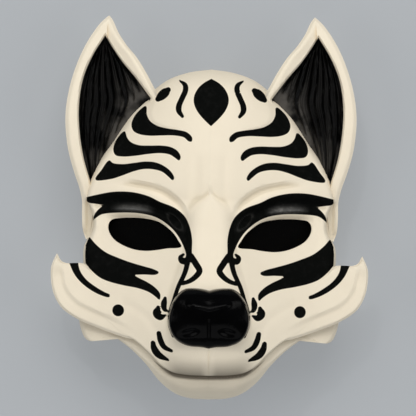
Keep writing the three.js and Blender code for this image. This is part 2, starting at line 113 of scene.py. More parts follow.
# Outlines on the sheet: distance from the middle line, height above the middle
FACE_OUTLINE = [
    (0, 90.6), (14.2, 88.6), (27.5, 84), (36.8, 77.4), (41.2, 73.1), (47.2, 67.6), (53.8, 60.4),
    (65.4, 41.9), (73, 30.8), (78.9, 18), (81.2, 9.5), (81.3, 4.5), (79.4, 0.5), (77.3, -4),
    (76.4, -10), (77.2, -15.5), (79.8, -20.5), (82.2, -26), (82.6, -34), (81.6, -46),
    (79, -58), (73, -69.5), (64.3, -76.3), (58.3, -80.6), (48.5, -85.3), (38.3, -93.4),
    (30, -101.2), (23, -105.2), (14.3, -106.8), (0, -107.3),
]
JAW_OUTLINE = [
    (0, -5), (40, -8), (70, -18), (80, -35), (84, -55), (85.2, -68), (84.6, -75),
    (83, -81), (81, -85), (78.6, -86.8), (76, -86), (73, -84.3), (67, -82.9), (62, -83.7),
    (56.5, -87), (50.5, -91.4), (41.2, -100.6), (31.5, -112.8), (21.5, -120.6),
    (11.8, -123.7), (0, -124.5),
]
LIP = FACE_OUTLINE[-9:]
NOSE_OUTLINE = [
    (0, -51.8), (4, -50.9), (9, -50.4), (15.4, -51), (20.8, -55.4), (24.7, -63),
    (26.1, -70.6), (24.3, -78.2), (20, -83.6), (12.9, -86.8), (4, -87.6), (0, -88.6),
]
EYE_OUTLINE = [
    (65.5, -11.5), (63.5, -8.2), (56.9, -6.9), (48.7, -6.7), (40.6, -7.3), (33.3, -9),
    (27.8, -12.3), (23.2, -16.3), (20, -20.9), (18, -24.8), (27.8, -26.2), (34.1, -27.3),
    (41.3, -27.9), (48.5, -27.1), (55.9, -24.5), (61.6, -20.9), (64.9, -16.2),
]
EAR_OUTER = [
    (80.2, -21), (82.2, -15.5), (82.9, -5.5), (83, 4.2), (84.9, 13), (88.1, 22.2),
    (92.3, 37.8), (94.1, 56.9), (92.6, 72.4), (88, 89.9), (81.2, 105.6), (72.6, 118.6),
    (66.7, 124.2),
]
EAR_INNER = [
    (74, -18), (70, -6), (66, 6), (59.5, 18), (50.5, 34), (40, 52), (33, 68), (38, 79.3),
    (48.1, 96.4), (55.2, 105), (60.4, 112.8), (64.2, 120.9), (66.7, 124.2),
]
TUFT_OUTER = [
    (44, -84.6), (52.5, -83.4), (61.3, -81), (73.4, -76.8), (83.8, -72.6), (95.1, -64.9),
    (100.4, -55.5), (102.2, -45.2), (101.8, -38), (98.4, -30.1),
]
TUFT_INNER = [
    (45, -66), (54, -58), (64, -50), (74, -42), (81, -36.6), (87, -36.2), (92, -36.3),
    (95.6, -34.8), (98.1, -30.3),
]

# The inner and outer end of the eye, between which its seat slopes
EYE_ENDS = ((18, -20), (66, -17))

# Edges that the carving follows, from the middle of the face outwards
BROW_CREST = [
    (11.6, -31), (11.6, -19.9), (13.4, -11.5), (16.4, -5.6), (22.4, -0.5), (32.6, 3.6),
    (39.4, 6.9), (49.6, 9.4), (61.5, 9.6), (73.3, 7.4), (79, 5.6),
]
BROW_GROOVE = [
    (12.3, -16.5), (13.2, -6.4), (15.6, 1.2), (20.7, 7.1), (29.3, 13), (39.5, 16.2),
    (49.7, 17.8), (54.7, 17.8), (66.6, 16.3), (75.9, 14.2),
]
LID_EDGE = [
    (14.6, -31), (15.2, -28.2), (18.8, -20.1), (23.4, -13.9), (30.6, -8.1), (37, -5.2),
    (46, -3.5), (58.5, -3.3), (69.3, -4.5), (72.9, -6.7), (74.7, -8.1), (76.3, -13),
    (76.6, -18),
]
TEMPLE_HOLLOW = [(79.2, 2), (79.2, -4), (79, -11), (79.6, -17)]
TUFT_CREASE = [
    (95, -36), (93.6, -43.5), (92, -51.2), (84.9, -60), (72.9, -65.8), (61, -70.8),
    (50, -76.5), (42, -83),
]
CROWN_EDGE = [
    (33, 76), (36.5, 66), (37.8, 60), (36, 56.4), (31.5, 53.7), (25.5, 52.2), (18, 51.6),
]
LIP_VALLEY = [(54, -61), (45, -66), (38.4, -70.5), (33.4, -78.5), (30.5, -88)]

# Heights on the sheet, as (height above the middle, value) in rising order
DOME_CREST = [
    (-125, 66), (-75, 66), (-50, 65), (-25, 65.5), (-5, 68.5), (12, 71), (30, 70), (53, 65.5),
    (70, 59.5), (80, 54), (92, 44),
]
DOME_DROP = [
    (-125, 16), (-70, 18), (-40, 20), (-15, 26), (0, 31), (20, 36), (50, 46), (70, 62), (92, 76),
]
SNOUT_RISE = [
    (-125, 13), (-112, 27.5), (-98, 34), (-86, 37), (-75, 38), (-65, 37), (-50, 32), (-35, 23),
    (-20, 13), (-8, 5), (5, 0),
]
SNOUT_REACH = [(-125, 46), (-98, 49), (-80, 46), (-65, 42), (-50, 36), (-35, 32), (-20, 30)]
SNOUT_POWER = [(-98, 2.3), (-80, 2), (-60, 1.6), (-40, 1.5)]
MUZZLE_CREST = [
    (-106, 76), (-98, 90), (-91, 99), (-86, 104), (-70, 107), (-54, 103), (-45, 98.5),
    (-30, 90), (-15, 82.3), (0, 75.9), (8, 72.9), (14, 71), (26, 66), (90, 30),
]
MUZZLE_WIDTH = [
    (-106, 20), (-98, 22), (-91, 23.5), (-85, 24.6), (-80, 25.6), (-67, 26), (-60, 25.4),
    (-52, 24), (-45, 22.4), (-33, 18.4), (-27, 17), (-15, 16), (-8, 15.4), (-2, 14.6), (3, 10.4),
    (6.5, 5), (9, 1.4), (13, 1),
]
MUZZLE_POWER = [(-98, 2.5), (-88, 4), (-75, 6), (-58, 4), (-45, 3), (-20, 4.5), (0, 3)]
NOSE_CREST = [
    (-90, 103), (-86, 108), (-81, 113), (-74, 116.6), (-66, 118), (-60, 117), (-55, 113.5),
    (-51, 109),
]
FACE_ROLL = [
    (-107, 2), (-96, 2), (-75, 3), (-60, 6), (-45, 8), (-28, 8), (-18, 5), (-10, 4),
    (0, 4), (8, 5), (16, 6), (40, 6.5), (73, 9), (80, 13), (90, 17),
]
JAW_ROLL = [(-125, 12), (-105, 6), (-90, 4), (-60, 6)]
NOSE_ROLL = [(-90, 2.4), (-52, 2)]
MUZZLE_LEAST_FALL = [(-20, 5), (0, 1.8)]
MUZZLE_FILLET = [(-98, 9), (-86, 5), (-70, 3)]

# Outline of each domed form, the ends of the spine its rows fan out from, and its rolled edge
FACE = dict(outline=FACE_OUTLINE, spine=(64, -84), roll=FACE_ROLL)
JAW = dict(outline=JAW_OUTLINE, spine=(-30, -108), roll=JAW_ROLL)
NOSE = dict(outline=NOSE_OUTLINE, spine=(-60, -76), roll=NOSE_ROLL)

# Height of the ear at shares of the way to its tip
EAR_LEVEL = [(0, 33), (0.15, 36), (0.35, 40), (0.6, 40), (1, 33)]

# How far the jaw lies behind the lip, in lip steps, by distance from the middle line
JAW_SETBACK = [(0, 1.75), (12, 1.6), (30, 0.95), (50, 0.95), (66, 1.2), (80, 1.8)]

# Carved profiles: height at shares of the way from brow to lid, and depth across the groove
LID_BAND = [
    (0, 1.6), (0.1, 0.9), (0.3, -1.9), (0.5, -3.6), (0.62, -2.6), (0.78, -0.6), (0.9, -0.6),
    (1, -1.5),
]
GROOVE_PROFILE = [(0, 0), (0.4, 0.2), (2.8, 1), (3.8, 1), (7, 0.3), (10, 0)]

# The neck's cut in side view: height above the middle, and height over the floor
NECK_CUT = [(-76, -6), (-80, 2), (-88, 16), (-100, 27), (-113, 33), (-130, 36)]

# Half of the diamond's outline, from its upper corner to its lower one
DIAMOND_SIDE = [
    (0, 82.4), (4.6, 79.8), (8.2, 76.4), (10.6, 71.8), (10.9, 67.5), (9, 62.5), (5.2, 57.6),
    (0, 52.6),
]

# Painted outlines, each a ring of smooth runs that meet in corners
MARKS = {
    "first forehead stripe": [[
        (41.8, 64.6), (41.3, 59.3), (39.2, 55.2), (34.3, 52), (27.8, 50.4), (21.2, 49.5),
        (15.5, 48.1), (12.2, 44.9), (12.4, 42.6), (14.2, 42.8), (17.1, 45.2), (23.6, 46.4),
        (31.8, 46.3), (39.2, 46.1), (45.7, 47), (49.4, 49), (50.7, 52.7), (49.1, 57.6),
        (45.9, 61.7),
    ]],
    "second forehead stripe": [[
        (55.3, 48.3), (53.8, 44.5), (51.4, 41.6), (46.4, 39.6), (39.1, 39.3), (31.7, 39.4),
        (26, 38.6), (21.5, 36.2), (19.4, 32.5), (20.2, 30.5), (22.7, 32.1), (26, 34.1),
        (31.7, 35), (39.9, 34.4), (48, 33.2), (56.2, 32.6), (60.7, 33.4), (62.1, 36.2),
        (61.2, 41.1), (58.4, 45.6),
    ]],
    "third forehead stripe": [[
        (64.9, 29.6), (62.7, 28), (56.1, 27.3), (48.8, 28.2), (41.4, 29.1), (34.9, 28.5),
        (29.1, 25.9), (25, 22.3), (23.4, 18.8), (24.2, 17.8), (26.6, 19.8), (30.7, 23),
        (36.5, 24.6), (43, 24.7), (49.5, 23.1), (56.9, 20.3), (63.4, 18.2), (73.2, 17.3),
        (73.4, 18.3), (70, 23),
    ]],
    "diamond": [DIAMOND_SIDE, [(-x, y) for x, y in reversed(DIAMOND_SIDE)]],
    "cheek stripe": [
        [(77, -19.6), (72.8, -24.3), (66.5, -29.2), (58.4, -32.7), (50.2, -35.6),
         (42.1, -37.9), (35.8, -39.7), (32.6, -41.5), (34.4, -42.7), (42.1, -42.7),
         (49.3, -43)],
        [(49.3, -43), (45.6, -45.2), (40.2, -47.8), (34.8, -51.4), (31.6, -55.4),
         (32, -58.8), (33.8, -57.2), (38.3, -54.1), (45.6, -51.5), (54.6, -49.8),
         (63.6, -47.6), (69.9, -45), (75.4, -40.5), (79, -36.1), (81.4, -33)],
        [(81.4, -33), (81.6, -28.9), (80, -24.4), (77, -19.6)],
    ],
    "thin cheek stripe": [
        [(90, -35), (86.3, -43), (81.8, -48.4), (75.4, -53.2), (69.1, -56.3), (64.2, -57.4),
         (63.7, -56.3), (67.3, -54.5), (72.7, -51.4), (79.1, -46.5), (83.2, -40.7),
         (84.6, -34.4)],
        [(84.6, -34.4), (90, -35)],
    ],
}
BROW_MARK = [
    [(79.7, 5.8), (73.3, 7.4), (61.5, 9.6), (49.6, 9.4), (39.4, 6.9), (32.6, 3.6),
     (22.4, -0.5), (16.4, -5.6), (13.4, -11.5), (11.6, -19.9), (11.6, -28.4), (11, -32.5)],
    [(11, -32.5), (13.6, -34.5), (15.2, -28.2), (18.8, -20.1), (23.4, -13.9), (30.6, -8.1),
     (37, -5.2), (46, -3.5), (58.5, -3.3), (69.3, -4.5), (72.9, -6.7), (74.9, -8.6)],
    [(74.9, -8.6), (73.5, -4.5), (70.4, -0.9), (67.3, 1.4)],
    [(67.3, 1.4), (73.1, 2.2), (78.1, 3.1), (79.7, 5.8)],
]
EAR_CUP = [
    [(75, 4), (78, 15.4), (82.5, 30.9), (85.4, 48.3), (86, 65.6), (83.5, 83), (77.6, 97.8),
     (69.1, 112)],
    [(69.1, 112), (63.8, 103.6), (57.2, 94.2), (48.6, 84), (40.1, 72.7), (38, 70)],
    [(38, 70), (42, 66), (62, 36), (69, 26), (75, 4)],
]

# Brush strokes: the path of the brush, and its half width at shares of the way along it
STROKES = {
    "crown curl": [
        [(20.4, 81.3), (16.9, 78.6), (16.5, 75.2), (18.5, 70.3), (20.6, 65.2), (20.6, 61.9),
         (18.3, 58.4)],
        [(0, 0.3), (0.2, 1.4), (0.35, 1.5), (0.6, 1.5), (0.8, 1.6), (1, 0.8)]],
    "crown oval": [
        [(34.1, 69.3), (30.9, 72.3), (27.5, 75.4)],
        [(0, 1.5), (0.2, 2.3), (0.5, 2.7), (0.8, 2.4), (1, 1.4)]],
    "muzzle line": [
        [(13.2, -30), (15.6, -41), (19.9, -50.6), (22.6, -58.9), (24.9, -66.6),
         (25.2, -74.9), (23, -82.5)],
        [(0, 1.6), (0.3, 1.2), (0.6, 1), (0.85, 0.8), (1, 0.4)]],
    "bridge loop": [
        [(12, -31), (8.7, -35.9), (6.4, -40.3), (8.6, -43.7), (12.5, -46.7), (17, -48.4)],
        [(0, 1.8), (0.45, 1.7), (1, 1)]],
    "eye curl": [
        [(13.8, -33), (17.4, -34), (18.7, -31.9), (16.8, -29.8)],
        [(0, 1.2), (0.4, 1.8), (0.75, 1.1), (1, 0.6)]],
    "first whisker": [
        [(28.2, -57.8), (29, -62.3), (28.3, -65.2), (26.7, -66.2)],
        [(0, 0.8), (0.35, 1.7), (0.8, 1.2), (1, 0.35)]],
    "second whisker": [
        [(32.6, -63.8), (33.2, -67.2), (31.2, -70), (27.7, -68.7)],
        [(0, 1), (0.35, 2.7), (0.65, 1.9), (1, 0.35)]],
    "third whisker": [
        [(32, -80.4), (31, -84.6), (28.6, -89), (23.8, -91.6)],
        [(0, 1.3), (0.35, 1.6), (0.7, 1.3), (1, 0.8)]],
    "fourth whisker": [
        [(35.7, -86.6), (35, -90), (32.1, -94.1), (25.8, -97.5)],
        [(0, 1.3), (0.35, 2), (0.65, 1.7), (1, 0.5)]],
    "cheek dot": [[(58.2, -65.9), (58.2, -66.1)], [(0, 3.5), (1, 3.5)]],
}


def keyed(pairs, at):
    """Cubic through (place, value) pairs. At a pair the slope is that of the line between its
    neighbours, and outside the first and last pair the value stays level."""
    places, values = np.array(pairs, float).T
    last = len(places) - 1
    before = np.maximum(np.arange(last + 1) - 1, 0)
    after = np.minimum(np.arange(last + 1) + 1, last)
    slopes = (values[after] - values[before]) / (places[after] - places[before])
    at = np.clip(at, places[0], places[-1])
    k = np.clip(np.searchsorted(places, at, side="left") - 1, 0, last - 1)
    span = places[k + 1] - places[k]
    t = (at - places[k]) / span
    t2, t3 = t * t, t * t * t
    return ((2 * t3 - 3 * t2 + 1) * values[k] + (t3 - 2 * t2 + t) * span * slopes[k]
            + (3 * t2 - 2 * t3) * values[k + 1] + (t3 - t2) * span * slopes[k + 1])


def ease(low, high, at):
    """0 below low, 1 above high, and 3t^2 - 2t^3 between them."""
    t = np.clip((at - low) / (high - low), 0, 1)
    return t * t * (3 - 2 * t)


def between(start, full, still, gone, at):
    """0 before start, 1 from full to still, and 0 again where at is past gone."""
    return ease(start, full, at) * (1 - ease(still, gone, at))


def bell(distance, width):
    """A bell curve: 1 at no distance, and a little over a third at the width."""
    return np.exp(-((distance / width) ** 2))


def smooth_max(a, b, reach):
    """The larger of a and b, with a fillet where they differ by less than reach."""
    near = np.maximum(reach - np.abs(a - b), 0) / reach
    return np.maximum(a, b) + near * near * reach / 4


def curve(points, closed=False, per_span=14):
    """Centripetal Catmull-Rom curve through the points, with per_span steps between two."""
    p = np.array(points, float)
    if closed:
        p = np.vstack([p[-1], p, p[0], p[1]])
    else:
        p = np.vstack([2 * p[0] - p[1], p, 2 * p[-1] - p[-2]])
    gap = np.sqrt(np.linalg.norm(np.diff(p, axis=0), axis=1))[:, None]
    d0, d1, d2 = gap[:-2], gap[1:-1], gap[2:]
    p0, p1, p2, p3 = p[:-3], p[1:-2], p[2:-1], p[3:]
    start = ((p1 - p0) / d0 - (p2 - p0) / (d0 + d1) + (p2 - p1) / d1) * d1
    end = ((p2 - p1) / d1 - (p3 - p1) / (d1 + d2) + (p3 - p2) / d2) * d1
    t = (np.arange(per_span) / per_span)[None, :, None]
    spans = [v[:, None, :] for v in (p1, start, p2, end)]
    way = ((2 * t**3 - 3 * t**2 + 1) * spans[0] + (t**3 - 2 * t**2 + t) * spans[1]
           + (3 * t**2 - 2 * t**3) * spans[2] + (t**3 - t**2) * spans[3])
    return np.vstack([way.reshape(-1, 2), p2[-1:]])


def ring_of(runs):
    """One closed outline from smooth runs that meet in corners, or from one closed run."""
    if len(runs) == 1:
        return curve(runs[0], closed=True)
    return np.vstack([curve(run)[:-1] for run in runs])


def along(points, count, closed=False):
    """count + 1 points at equal steps along the smooth curve through the points."""
    way = curve(points, closed)
    length = np.concatenate([[0], np.cumsum(np.linalg.norm(np.diff(way, axis=0), axis=1))])
    at = np.linspace(0, length[-1], count + 1)
    return np.stack([np.interp(at, length, way[:, i]) for i in (0, 1)], axis=1)


def normals(path, closed=False):
    """Unit normals to the left of the way along a row of points."""
    if closed:
        step = np.roll(path, -1, axis=0) - np.roll(path, 1, axis=0)
    else:
        step = np.vstack([path[1:], path[-1:]]) - np.vstack([path[:1], path[:-1]])
    turned = np.stack([-step[:, 1], step[:, 0]], axis=1)
    return turned / np.linalg.norm(turned, axis=1, keepdims=True)


def nearest(way, x, y, chunk=6000):
    """Distance from each place to the polyline way, the side it lies on (positive to the left of
    the way), and the share of the way's length at the nearest point."""
    a, b = way[:-1], way[1:]
    step = b - a
    length = np.linalg.norm(step, axis=1)
    total = np.concatenate([[0], np.cumsum(length)])
    flat = np.stack([np.ravel(x), np.ravel(y)], axis=1)
    found = [np.empty(len(flat)) for _ in range(3)]
    for low in range(0, len(flat), chunk):
        part = slice(low, low + chunk)
        off = flat[part, None, :] - a[None]
        t = np.clip((off * step).sum(2) / (length**2 + 1e-12), 0, 1)
        gap = off - t[..., None] * step
        distance = np.hypot(gap[..., 0], gap[..., 1])
        best = distance.argmin(1)
        row = np.arange(len(best))
        found[0][part] = distance[row, best]
        cross = step[best, 0] * off[row, best, 1] - step[best, 1] * off[row, best, 0]
        found[1][part] = np.where(cross < 0, -1, 1)
        found[2][part] = (total[best] + t[row, best] * length[best]) / total[-1]
    return [v.reshape(np.shape(x)) for v in found]


def inside_distance(ring, x, y, reach=MARK_REACH):
    """Signed distance to a closed outline, negative inside, and reach where it is farther off."""
    loop = np.vstack([ring, ring[:1]])
    found = np.full(np.shape(x), float(reach))
    low, high = loop.min(0) - reach, loop.max(0) + reach
    near = (x > low[0]) & (x < high[0]) & (y > low[1]) & (y < high[1])
    px, py = x[near], y[near]
    distance = nearest(loop, px, py)[0]
    a, b = loop[:-1], loop[1:]
    inside = np.zeros(len(px), bool)
    for (ax, ay), (bx, by) in zip(a, b):
        if ay != by:
            crosses = (ay > py) != (by > py)
            inside ^= crosses & (px < ax + (py - ay) * (bx - ax) / (by - ay))
    found[near] = np.minimum(np.where(inside, -distance, distance), reach)
    return found


def stroke_distance(path, widths, x, y, reach=MARK_REACH):
    """Signed distance to a brush stroke: distance to its path less its half width there."""
    way = curve(path)
    found = np.full(np.shape(x), float(reach))
    widest = max(w for _, w in widths) + reach
    low, high = way.min(0) - widest, way.max(0) + widest
    near = (x > low[0]) & (x < high[0]) & (y > low[1]) & (y < high[1])
    distance, _, share = nearest(way, x[near], y[near])
    found[near] = np.minimum(distance - keyed(widths, share), reach)
    return found


def as_seen(x, y, z):
    """Where the camera sees a place of height z, carried to the level of the drawing."""
    spread = (CAMERA_HEIGHT - DRAWING_LEVEL) / (CAMERA_HEIGHT - z)
    return np.abs(x) * spread, y * spread


def mark_distance(x, y, z):
    """Signed distance to the nearest sunk mark on the face, negative inside it."""
    across, y = as_seen(x, y, z)
    found = [inside_distance(ring_of(runs), across, y) for runs in MARKS.values()]
    found += [stroke_distance(path, widths, across, y) for path, widths in STROKES.values()]
    return np.minimum.reduce(found)


def dome_height(x, y):
    """A dome over the sheet: its crest less a drop that grows as the squared sine of the way to
    the side, plus a swelling of snout and lips that fades as exp(-(across / reach) ** power),
    less a hollow of the same kind round each eye."""
    across = np.abs(x)
    fall = np.sin(QUARTER_TURN * np.minimum(across / 104, 1)) ** 2
    dome = keyed(DOME_CREST, y) - keyed(DOME_DROP, y) * fall
    snout = np.exp(-((across / keyed(SNOUT_REACH, y)) ** keyed(SNOUT_POWER, y)))
    socket = np.hypot((across - 46) / 31, (y + 12) / 16)
    return dome + keyed(SNOUT_RISE, y) * snout - EYE_HOLLOW * np.exp(-(socket**2.6))


def brow_oval(across, y):
    """1 on the edge of the small slanting oval carved in the brow, and 0 in its middle."""
    inward, up = 22.3 - across, y + 8.9
    lengthwise = (inward * 10.3 - up * 11.7) / 15.6
    sideways = (inward * 11.7 + up * 10.3) / 15.6
    return np.hypot(lengthwise / 6.5, sideways / 2.6)


def lid_relief(across, y):
    """The brow's crest, the hollow between brow and lid, and the lid's fall round the eye."""
    brow, side, share = nearest(curve(BROW_CREST), across, y)
    lid, lid_side, lid_share = nearest(curve(LID_EDGE), across, y)
    fade = ease(0.1, 0.4, share) * (1 - ease(68, 79, across))
    over = np.where(side > 0, brow, 0)
    under = np.where(side < 0, brow, 0)
    inward = np.where(lid_side < 0, lid, 0)
    lift = BROW_LIFT * bell(over, 4.5) * (side > 0)
    part = under / np.maximum(under + lid, 0.01)
    band = keyed(LID_BAND, part) * (side < 0) * (lid_side > 0)
    rim = LID_BAND[-1][1] - LID_DEPTH * ease(0, 4.6, inward) * (1 - ease(0.66, 0.82, lid_share))
    rim = rim * (1 - ease(7, 17, inward)) * (side < 0) * (lid_side < 0)
    return (lift + band + rim) * fade


def groove_relief(across, y):
    """The long groove that follows the brow's crest above it."""
    groove, above, share = nearest(curve(BROW_GROOVE), across, y)
    fade = between(0, 0.3, 0.62, 0.86, share)
    return -BROW_GROOVE_DEPTH * keyed(GROOVE_PROFILE, groove) * fade * (above < 0)


def tuft_relief(across, y):
    """A step down outside the tuft's crease, and a soft swelling inside it."""
    crease, outer, share = nearest(curve(TUFT_CREASE), across, y)
    fade = between(0, 0.1, 0.6, 0.95, share)
    step = np.where(outer > 0, -TUFT_CREASE_DEPTH * ease(0, 2.6, crease), 0)
    return (step + 0.4 * bell(crease, 4) * (outer < 0)) * fade


def crown_relief(across, y):
    """A step down outside the crown's edge, which rises again farther off."""
    edge, outer, share = nearest(curve(CROWN_EDGE), across, y)
    fade = between(0, 0.2, 0.7, 1, share)
    drop = np.where(outer > 0, between(0, 3.2, 4, 16, edge), 0)
    return -CROWN_STEP * drop * fade


def lip_relief(across, y):
    """The valley behind the lip, its two pads, its tuck to the jaw and the line down its middle."""
    valley = nearest(curve(LIP_VALLEY), across, y)[0]
    pads = bell(across - 21, 9) * bell(y + 91, 8)
    tuck = np.clip((-94 - y) / 13, 0, 1.2) ** 2 * (1 - ease(14, 32, across))
    philtrum = bell(across, 0.8) * (1 - ease(-90, -87, y))
    return (LIP_PAD_RISE * pads - LIP_VALLEY_DEPTH * bell(valley, 3)
            - LIP_TUCK * tuck - PHILTRUM_DEPTH * philtrum)


def forehead_relief(across, y):
    """A keel with a furrow beside it, and the brow's small oval with its raised edge."""
    keel = np.exp(-across / 3) * between(8, 16, 44, 56, y)
    furrow = bell(across - 9, 3.2) * between(-4, 8, 26, 40, y)
    oval = brow_oval(across, y)
    edge = 0.4 * bell(oval - 1.2, 0.18)
    return (edge - BROW_OVAL_DEPTH * (1 - ease(0.7, 1.05, oval))
            + FOREHEAD_KEEL * keel - FOREHEAD_FURROW * furrow)


def carved_height(x, y):
    """The dome with its carving. Most of that is a profile across the distance to a path."""
    across = np.abs(x)
    height = dome_height(x, y)
    for relief in (lid_relief, groove_relief, tuft_relief, crown_relief, lip_relief,
                   forehead_relief):
        height = height + relief(across, y)
    return height


def muzzle_height(x, y, wider, least_fall, power):
    """The muzzle, which falls from its crest as a power of the way to its foot."""
    half_width = keyed(MUZZLE_WIDTH, y) + wider
    crest = keyed(MUZZLE_CREST, y)
    fall = np.maximum(crest - dome_height(half_width, y) + 2, least_fall)
    return crest - fall * np.minimum(np.abs(x) / half_width, 4) ** power


def front_height(x, y):
    """The carved face and the muzzle over it, joined with a fillet."""
    muzzle = muzzle_height(x, y, 0, keyed(MUZZLE_LEAST_FALL, y), keyed(MUZZLE_POWER, y))
    return smooth_max(carved_height(x, y), muzzle, keyed(MUZZLE_FILLET, y))


def smooth_front(x, y):
    """The face and muzzle without the fine carving, for the inner side of the wall."""
    muzzle = muzzle_height(x, y, 1, 5, 3)
    return smooth_max(dome_height(x, y), muzzle, 4) - 2.5


def sunk_height(x, y):
    """The front of the face with its marks sunk into it."""
    height = front_height(x, y)
    return height - MARK_DEPTH * ease(-0.4, 0.7, -mark_distance(x, y, height))


def jaw_height(x, y):
    """The lower jaw: the face's own form, set back behind the lip, with a groove along it."""
    across = np.abs(x)
    lip = nearest(curve(FACE_OUTLINE[-10:]), across, y)[0]
    groove = 1.6 - 1.1 * ease(24, 44, across)
    set_back = dome_height(x, y) - LIP_STEP * keyed(JAW_SETBACK, across)
    return set_back - groove * bell(lip, 1.6)


def nose_height(x, y):
    """The leather of the nose: a crest along it, a ledge in a shallow V, nostrils, and a furrow
    down the middle."""
    across = np.abs(x)
    brow_line = y + 63.2 - 0.23 * across
    top = keyed(NOSE_CREST, y) - 2.6 * (across / 20) ** 2
    slope = np.where(brow_line > 0, brow_line / 2.4, brow_line / 1.1)
    ledge = NOSE_LEDGE * np.exp(-(slope**2)) * (1 - ease(10, 15, across))
    nostril = np.hypot((across - 12) / 5, (y + 78 + 0.2 * (across - 12)) / 2.2)
    furrow = bell(across, 1.1) * (1 - ease(-72, -68, y))
    return top + ledge - NOSTRIL_DEPTH * np.exp(-(nostril**3)) - 0.5 * furrow


def behind_wall(height):
    """The inner side of the wall under a height function, squarely behind its slope."""
    def inner(x, y):
        step = 0.5
        gx = (height(x + step, y) - height(x - step, y)) / (2 * step)
        gy = (height(x, y + step) - height(x, y - step)) / (2 * step)
        return height(x, y) - WALL * np.minimum(np.sqrt(1 + gx**2 + gy**2), 1.7)
    return inner


def flat_base(x, y):
    """The level that most solids roll down to."""
    return 0 * x


def cushion(outline, rows, flat_steps, roll_steps, spine, height, roll, floor, inset=0,
            base=flat_base):
    """Rings of a solid under a height function. Rows fan out from a spine on the middle line to
    the outline, and each rolls over at its end to the base as a quarter superellipse."""
    border = along(outline, rows)
    facing = normals(border)
    facing[0], facing[-1] = (0, 1), (0, -1)
    bx = np.maximum(border[:, 0] - inset * np.abs(facing[:, 0]), 0)
    by = border[:, 1] - inset * facing[:, 1]
    bx[[0, -1]] = 0
    sy = np.linspace(spine[0], spine[1], rows + 1)
    share = np.minimum(keyed(roll, by) / np.hypot(bx, by - sy), 0.9)
    flat = np.arange(flat_steps + 1)[:, None] / flat_steps
    turn = np.arange(1, roll_steps + 1)[:, None] / roll_steps * QUARTER_TURN
    power = 2 / ROLL_POWER
    out = np.vstack([flat * (1 - share), 1 - share * (1 - np.sin(turn) ** power)])
    rest = np.vstack([flat * 0 + 1 + 0 * share, np.maximum(np.cos(turn), 0) ** power + 0 * share])
    x = bx * out
    y = sy + (by - sy) * out
    low = base(x, y)
    z = low + (height(x, y) - low) * rest
    x = np.vstack([x, bx, 0 * bx])
    y = np.vstack([y, by, sy])
    z = np.vstack([z, 0 * bx + floor, 0 * bx + floor])
    right = np.stack([x, y, z], axis=2)
    left = right[:, -2:0:-1] * (-1, 1, 1)
    return np.concatenate([right, left], axis=1)


def closed_ends(rings):
    """Rings with one more at each end, drawn together to the middle of the end ring."""
    first = np.broadcast_to(rings[0].mean(0), rings[0].shape)
    last = np.broadcast_to(rings[-1].mean(0), rings[-1].shape)
    return np.concatenate([first[None], rings, last[None]])


def mirrored(rings):
    """The same rings on the other side of the middle line."""
    return rings * (-1, 1, 1)


def solid(name, rings, finish=CREAM_FINISH, wear_and_sheen=None):
    """A closed mesh from rings of equal count joined ring to ring. Doubled points are merged,
    faces without area are left out, and the faces point outwards. All have one finish, and each
    point keeps its wear and painted sheen."""
    rows, count = rings.shape[:2]
    points = rings.reshape(-1, 3)
    a = np.arange(rows - 1)[:, None] * count + np.arange(count)
    b = np.arange(rows - 1)[:, None] * count + (np.arange(count) + 1) % count
    faces = np.concatenate([np.stack([a, b, b + count], -1).reshape(-1, 3),
                            np.stack([a, b + count, a + count], -1).reshape(-1, 3)])
    _, keep, where = np.unique(np.round(points, 3), axis=0, return_index=True,
                               return_inverse=True)
    points, faces = points[keep], where.ravel()[faces]
    whole = ((faces[:, 0] != faces[:, 1]) & (faces[:, 1] != faces[:, 2])
             & (faces[:, 2] != faces[:, 0]))
    faces = faces[whole]
    corner = points[faces]
    volume = (corner[:, 0] * np.cross(corner[:, 1], corner[:, 2])).sum()
    if volume < 0:
        faces = faces[:, ::-1]
    piece = mesh_object(name, points, faces)
    piece.data.attributes.new("finish", "INT", "FACE").data.foreach_set(
        "value", np.full(len(faces), finish, np.int32))
    keep_values(piece.data, "wear_and_sheen", np.zeros(len(points)) if wear_and_sheen is None else wear_and_sheen.ravel()[keep])
    return piece


def mesh_object(name, points, faces):
    """A mesh object from arrays of points and triangles."""
    mesh = bpy.data.meshes.new(name)
    mesh.vertices.add(len(points))
    mesh.vertices.foreach_set("co", np.asarray(points, np.float32).ravel())
    mesh.loops.add(faces.size)
    mesh.loops.foreach_set("vertex_index", faces.astype(np.int32).ravel())
    mesh.polygons.add(len(faces))
    mesh.polygons.foreach_set("loop_start", np.arange(0, faces.size, 3, dtype=np.int32))
    mesh.update(calc_edges=True)
    piece = bpy.data.objects.new(name, mesh)
    bpy.context.scene.collection.objects.link(piece)
    return piece


def keep_values(mesh, name, values):
    """One number for each vertex, kept on the mesh for the materials."""
    mesh.attributes.new(name, "FLOAT", "POINT").data.foreach_set(
        "value", np.asarray(values, np.float32))


def combine(target, others, operation):
    """Joins, cuts or keeps the common part of solids, and deletes the others."""
    for other in others:
        change = target.modifiers.new(operation, "BOOLEAN")
        change.operation = operation
        change.solver = "MANIFOLD"
        change.object = other
    bpy.context.view_layer.update()
    graph = bpy.context.evaluated_depsgraph_get()
    result = bpy.data.meshes.new_from_object(target.evaluated_get(graph))
    target.modifiers.clear()
    target.data = result
    for other in others:
        bpy.data.objects.remove(other)
    return target


def prism(ring, low, high):
    """Rings of an upright prism on an outline, between two heights given as functions."""
    centre = np.broadcast_to(ring.mean(0), ring.shape)

    def level(flat, height):
        return np.column_stack([flat, height(flat[:, 0], flat[:, 1]) + 0 * flat[:, 0]])
    return np.stack([level(centre, low), level(ring, low), level(ring, high),
                     level(centre, high)])


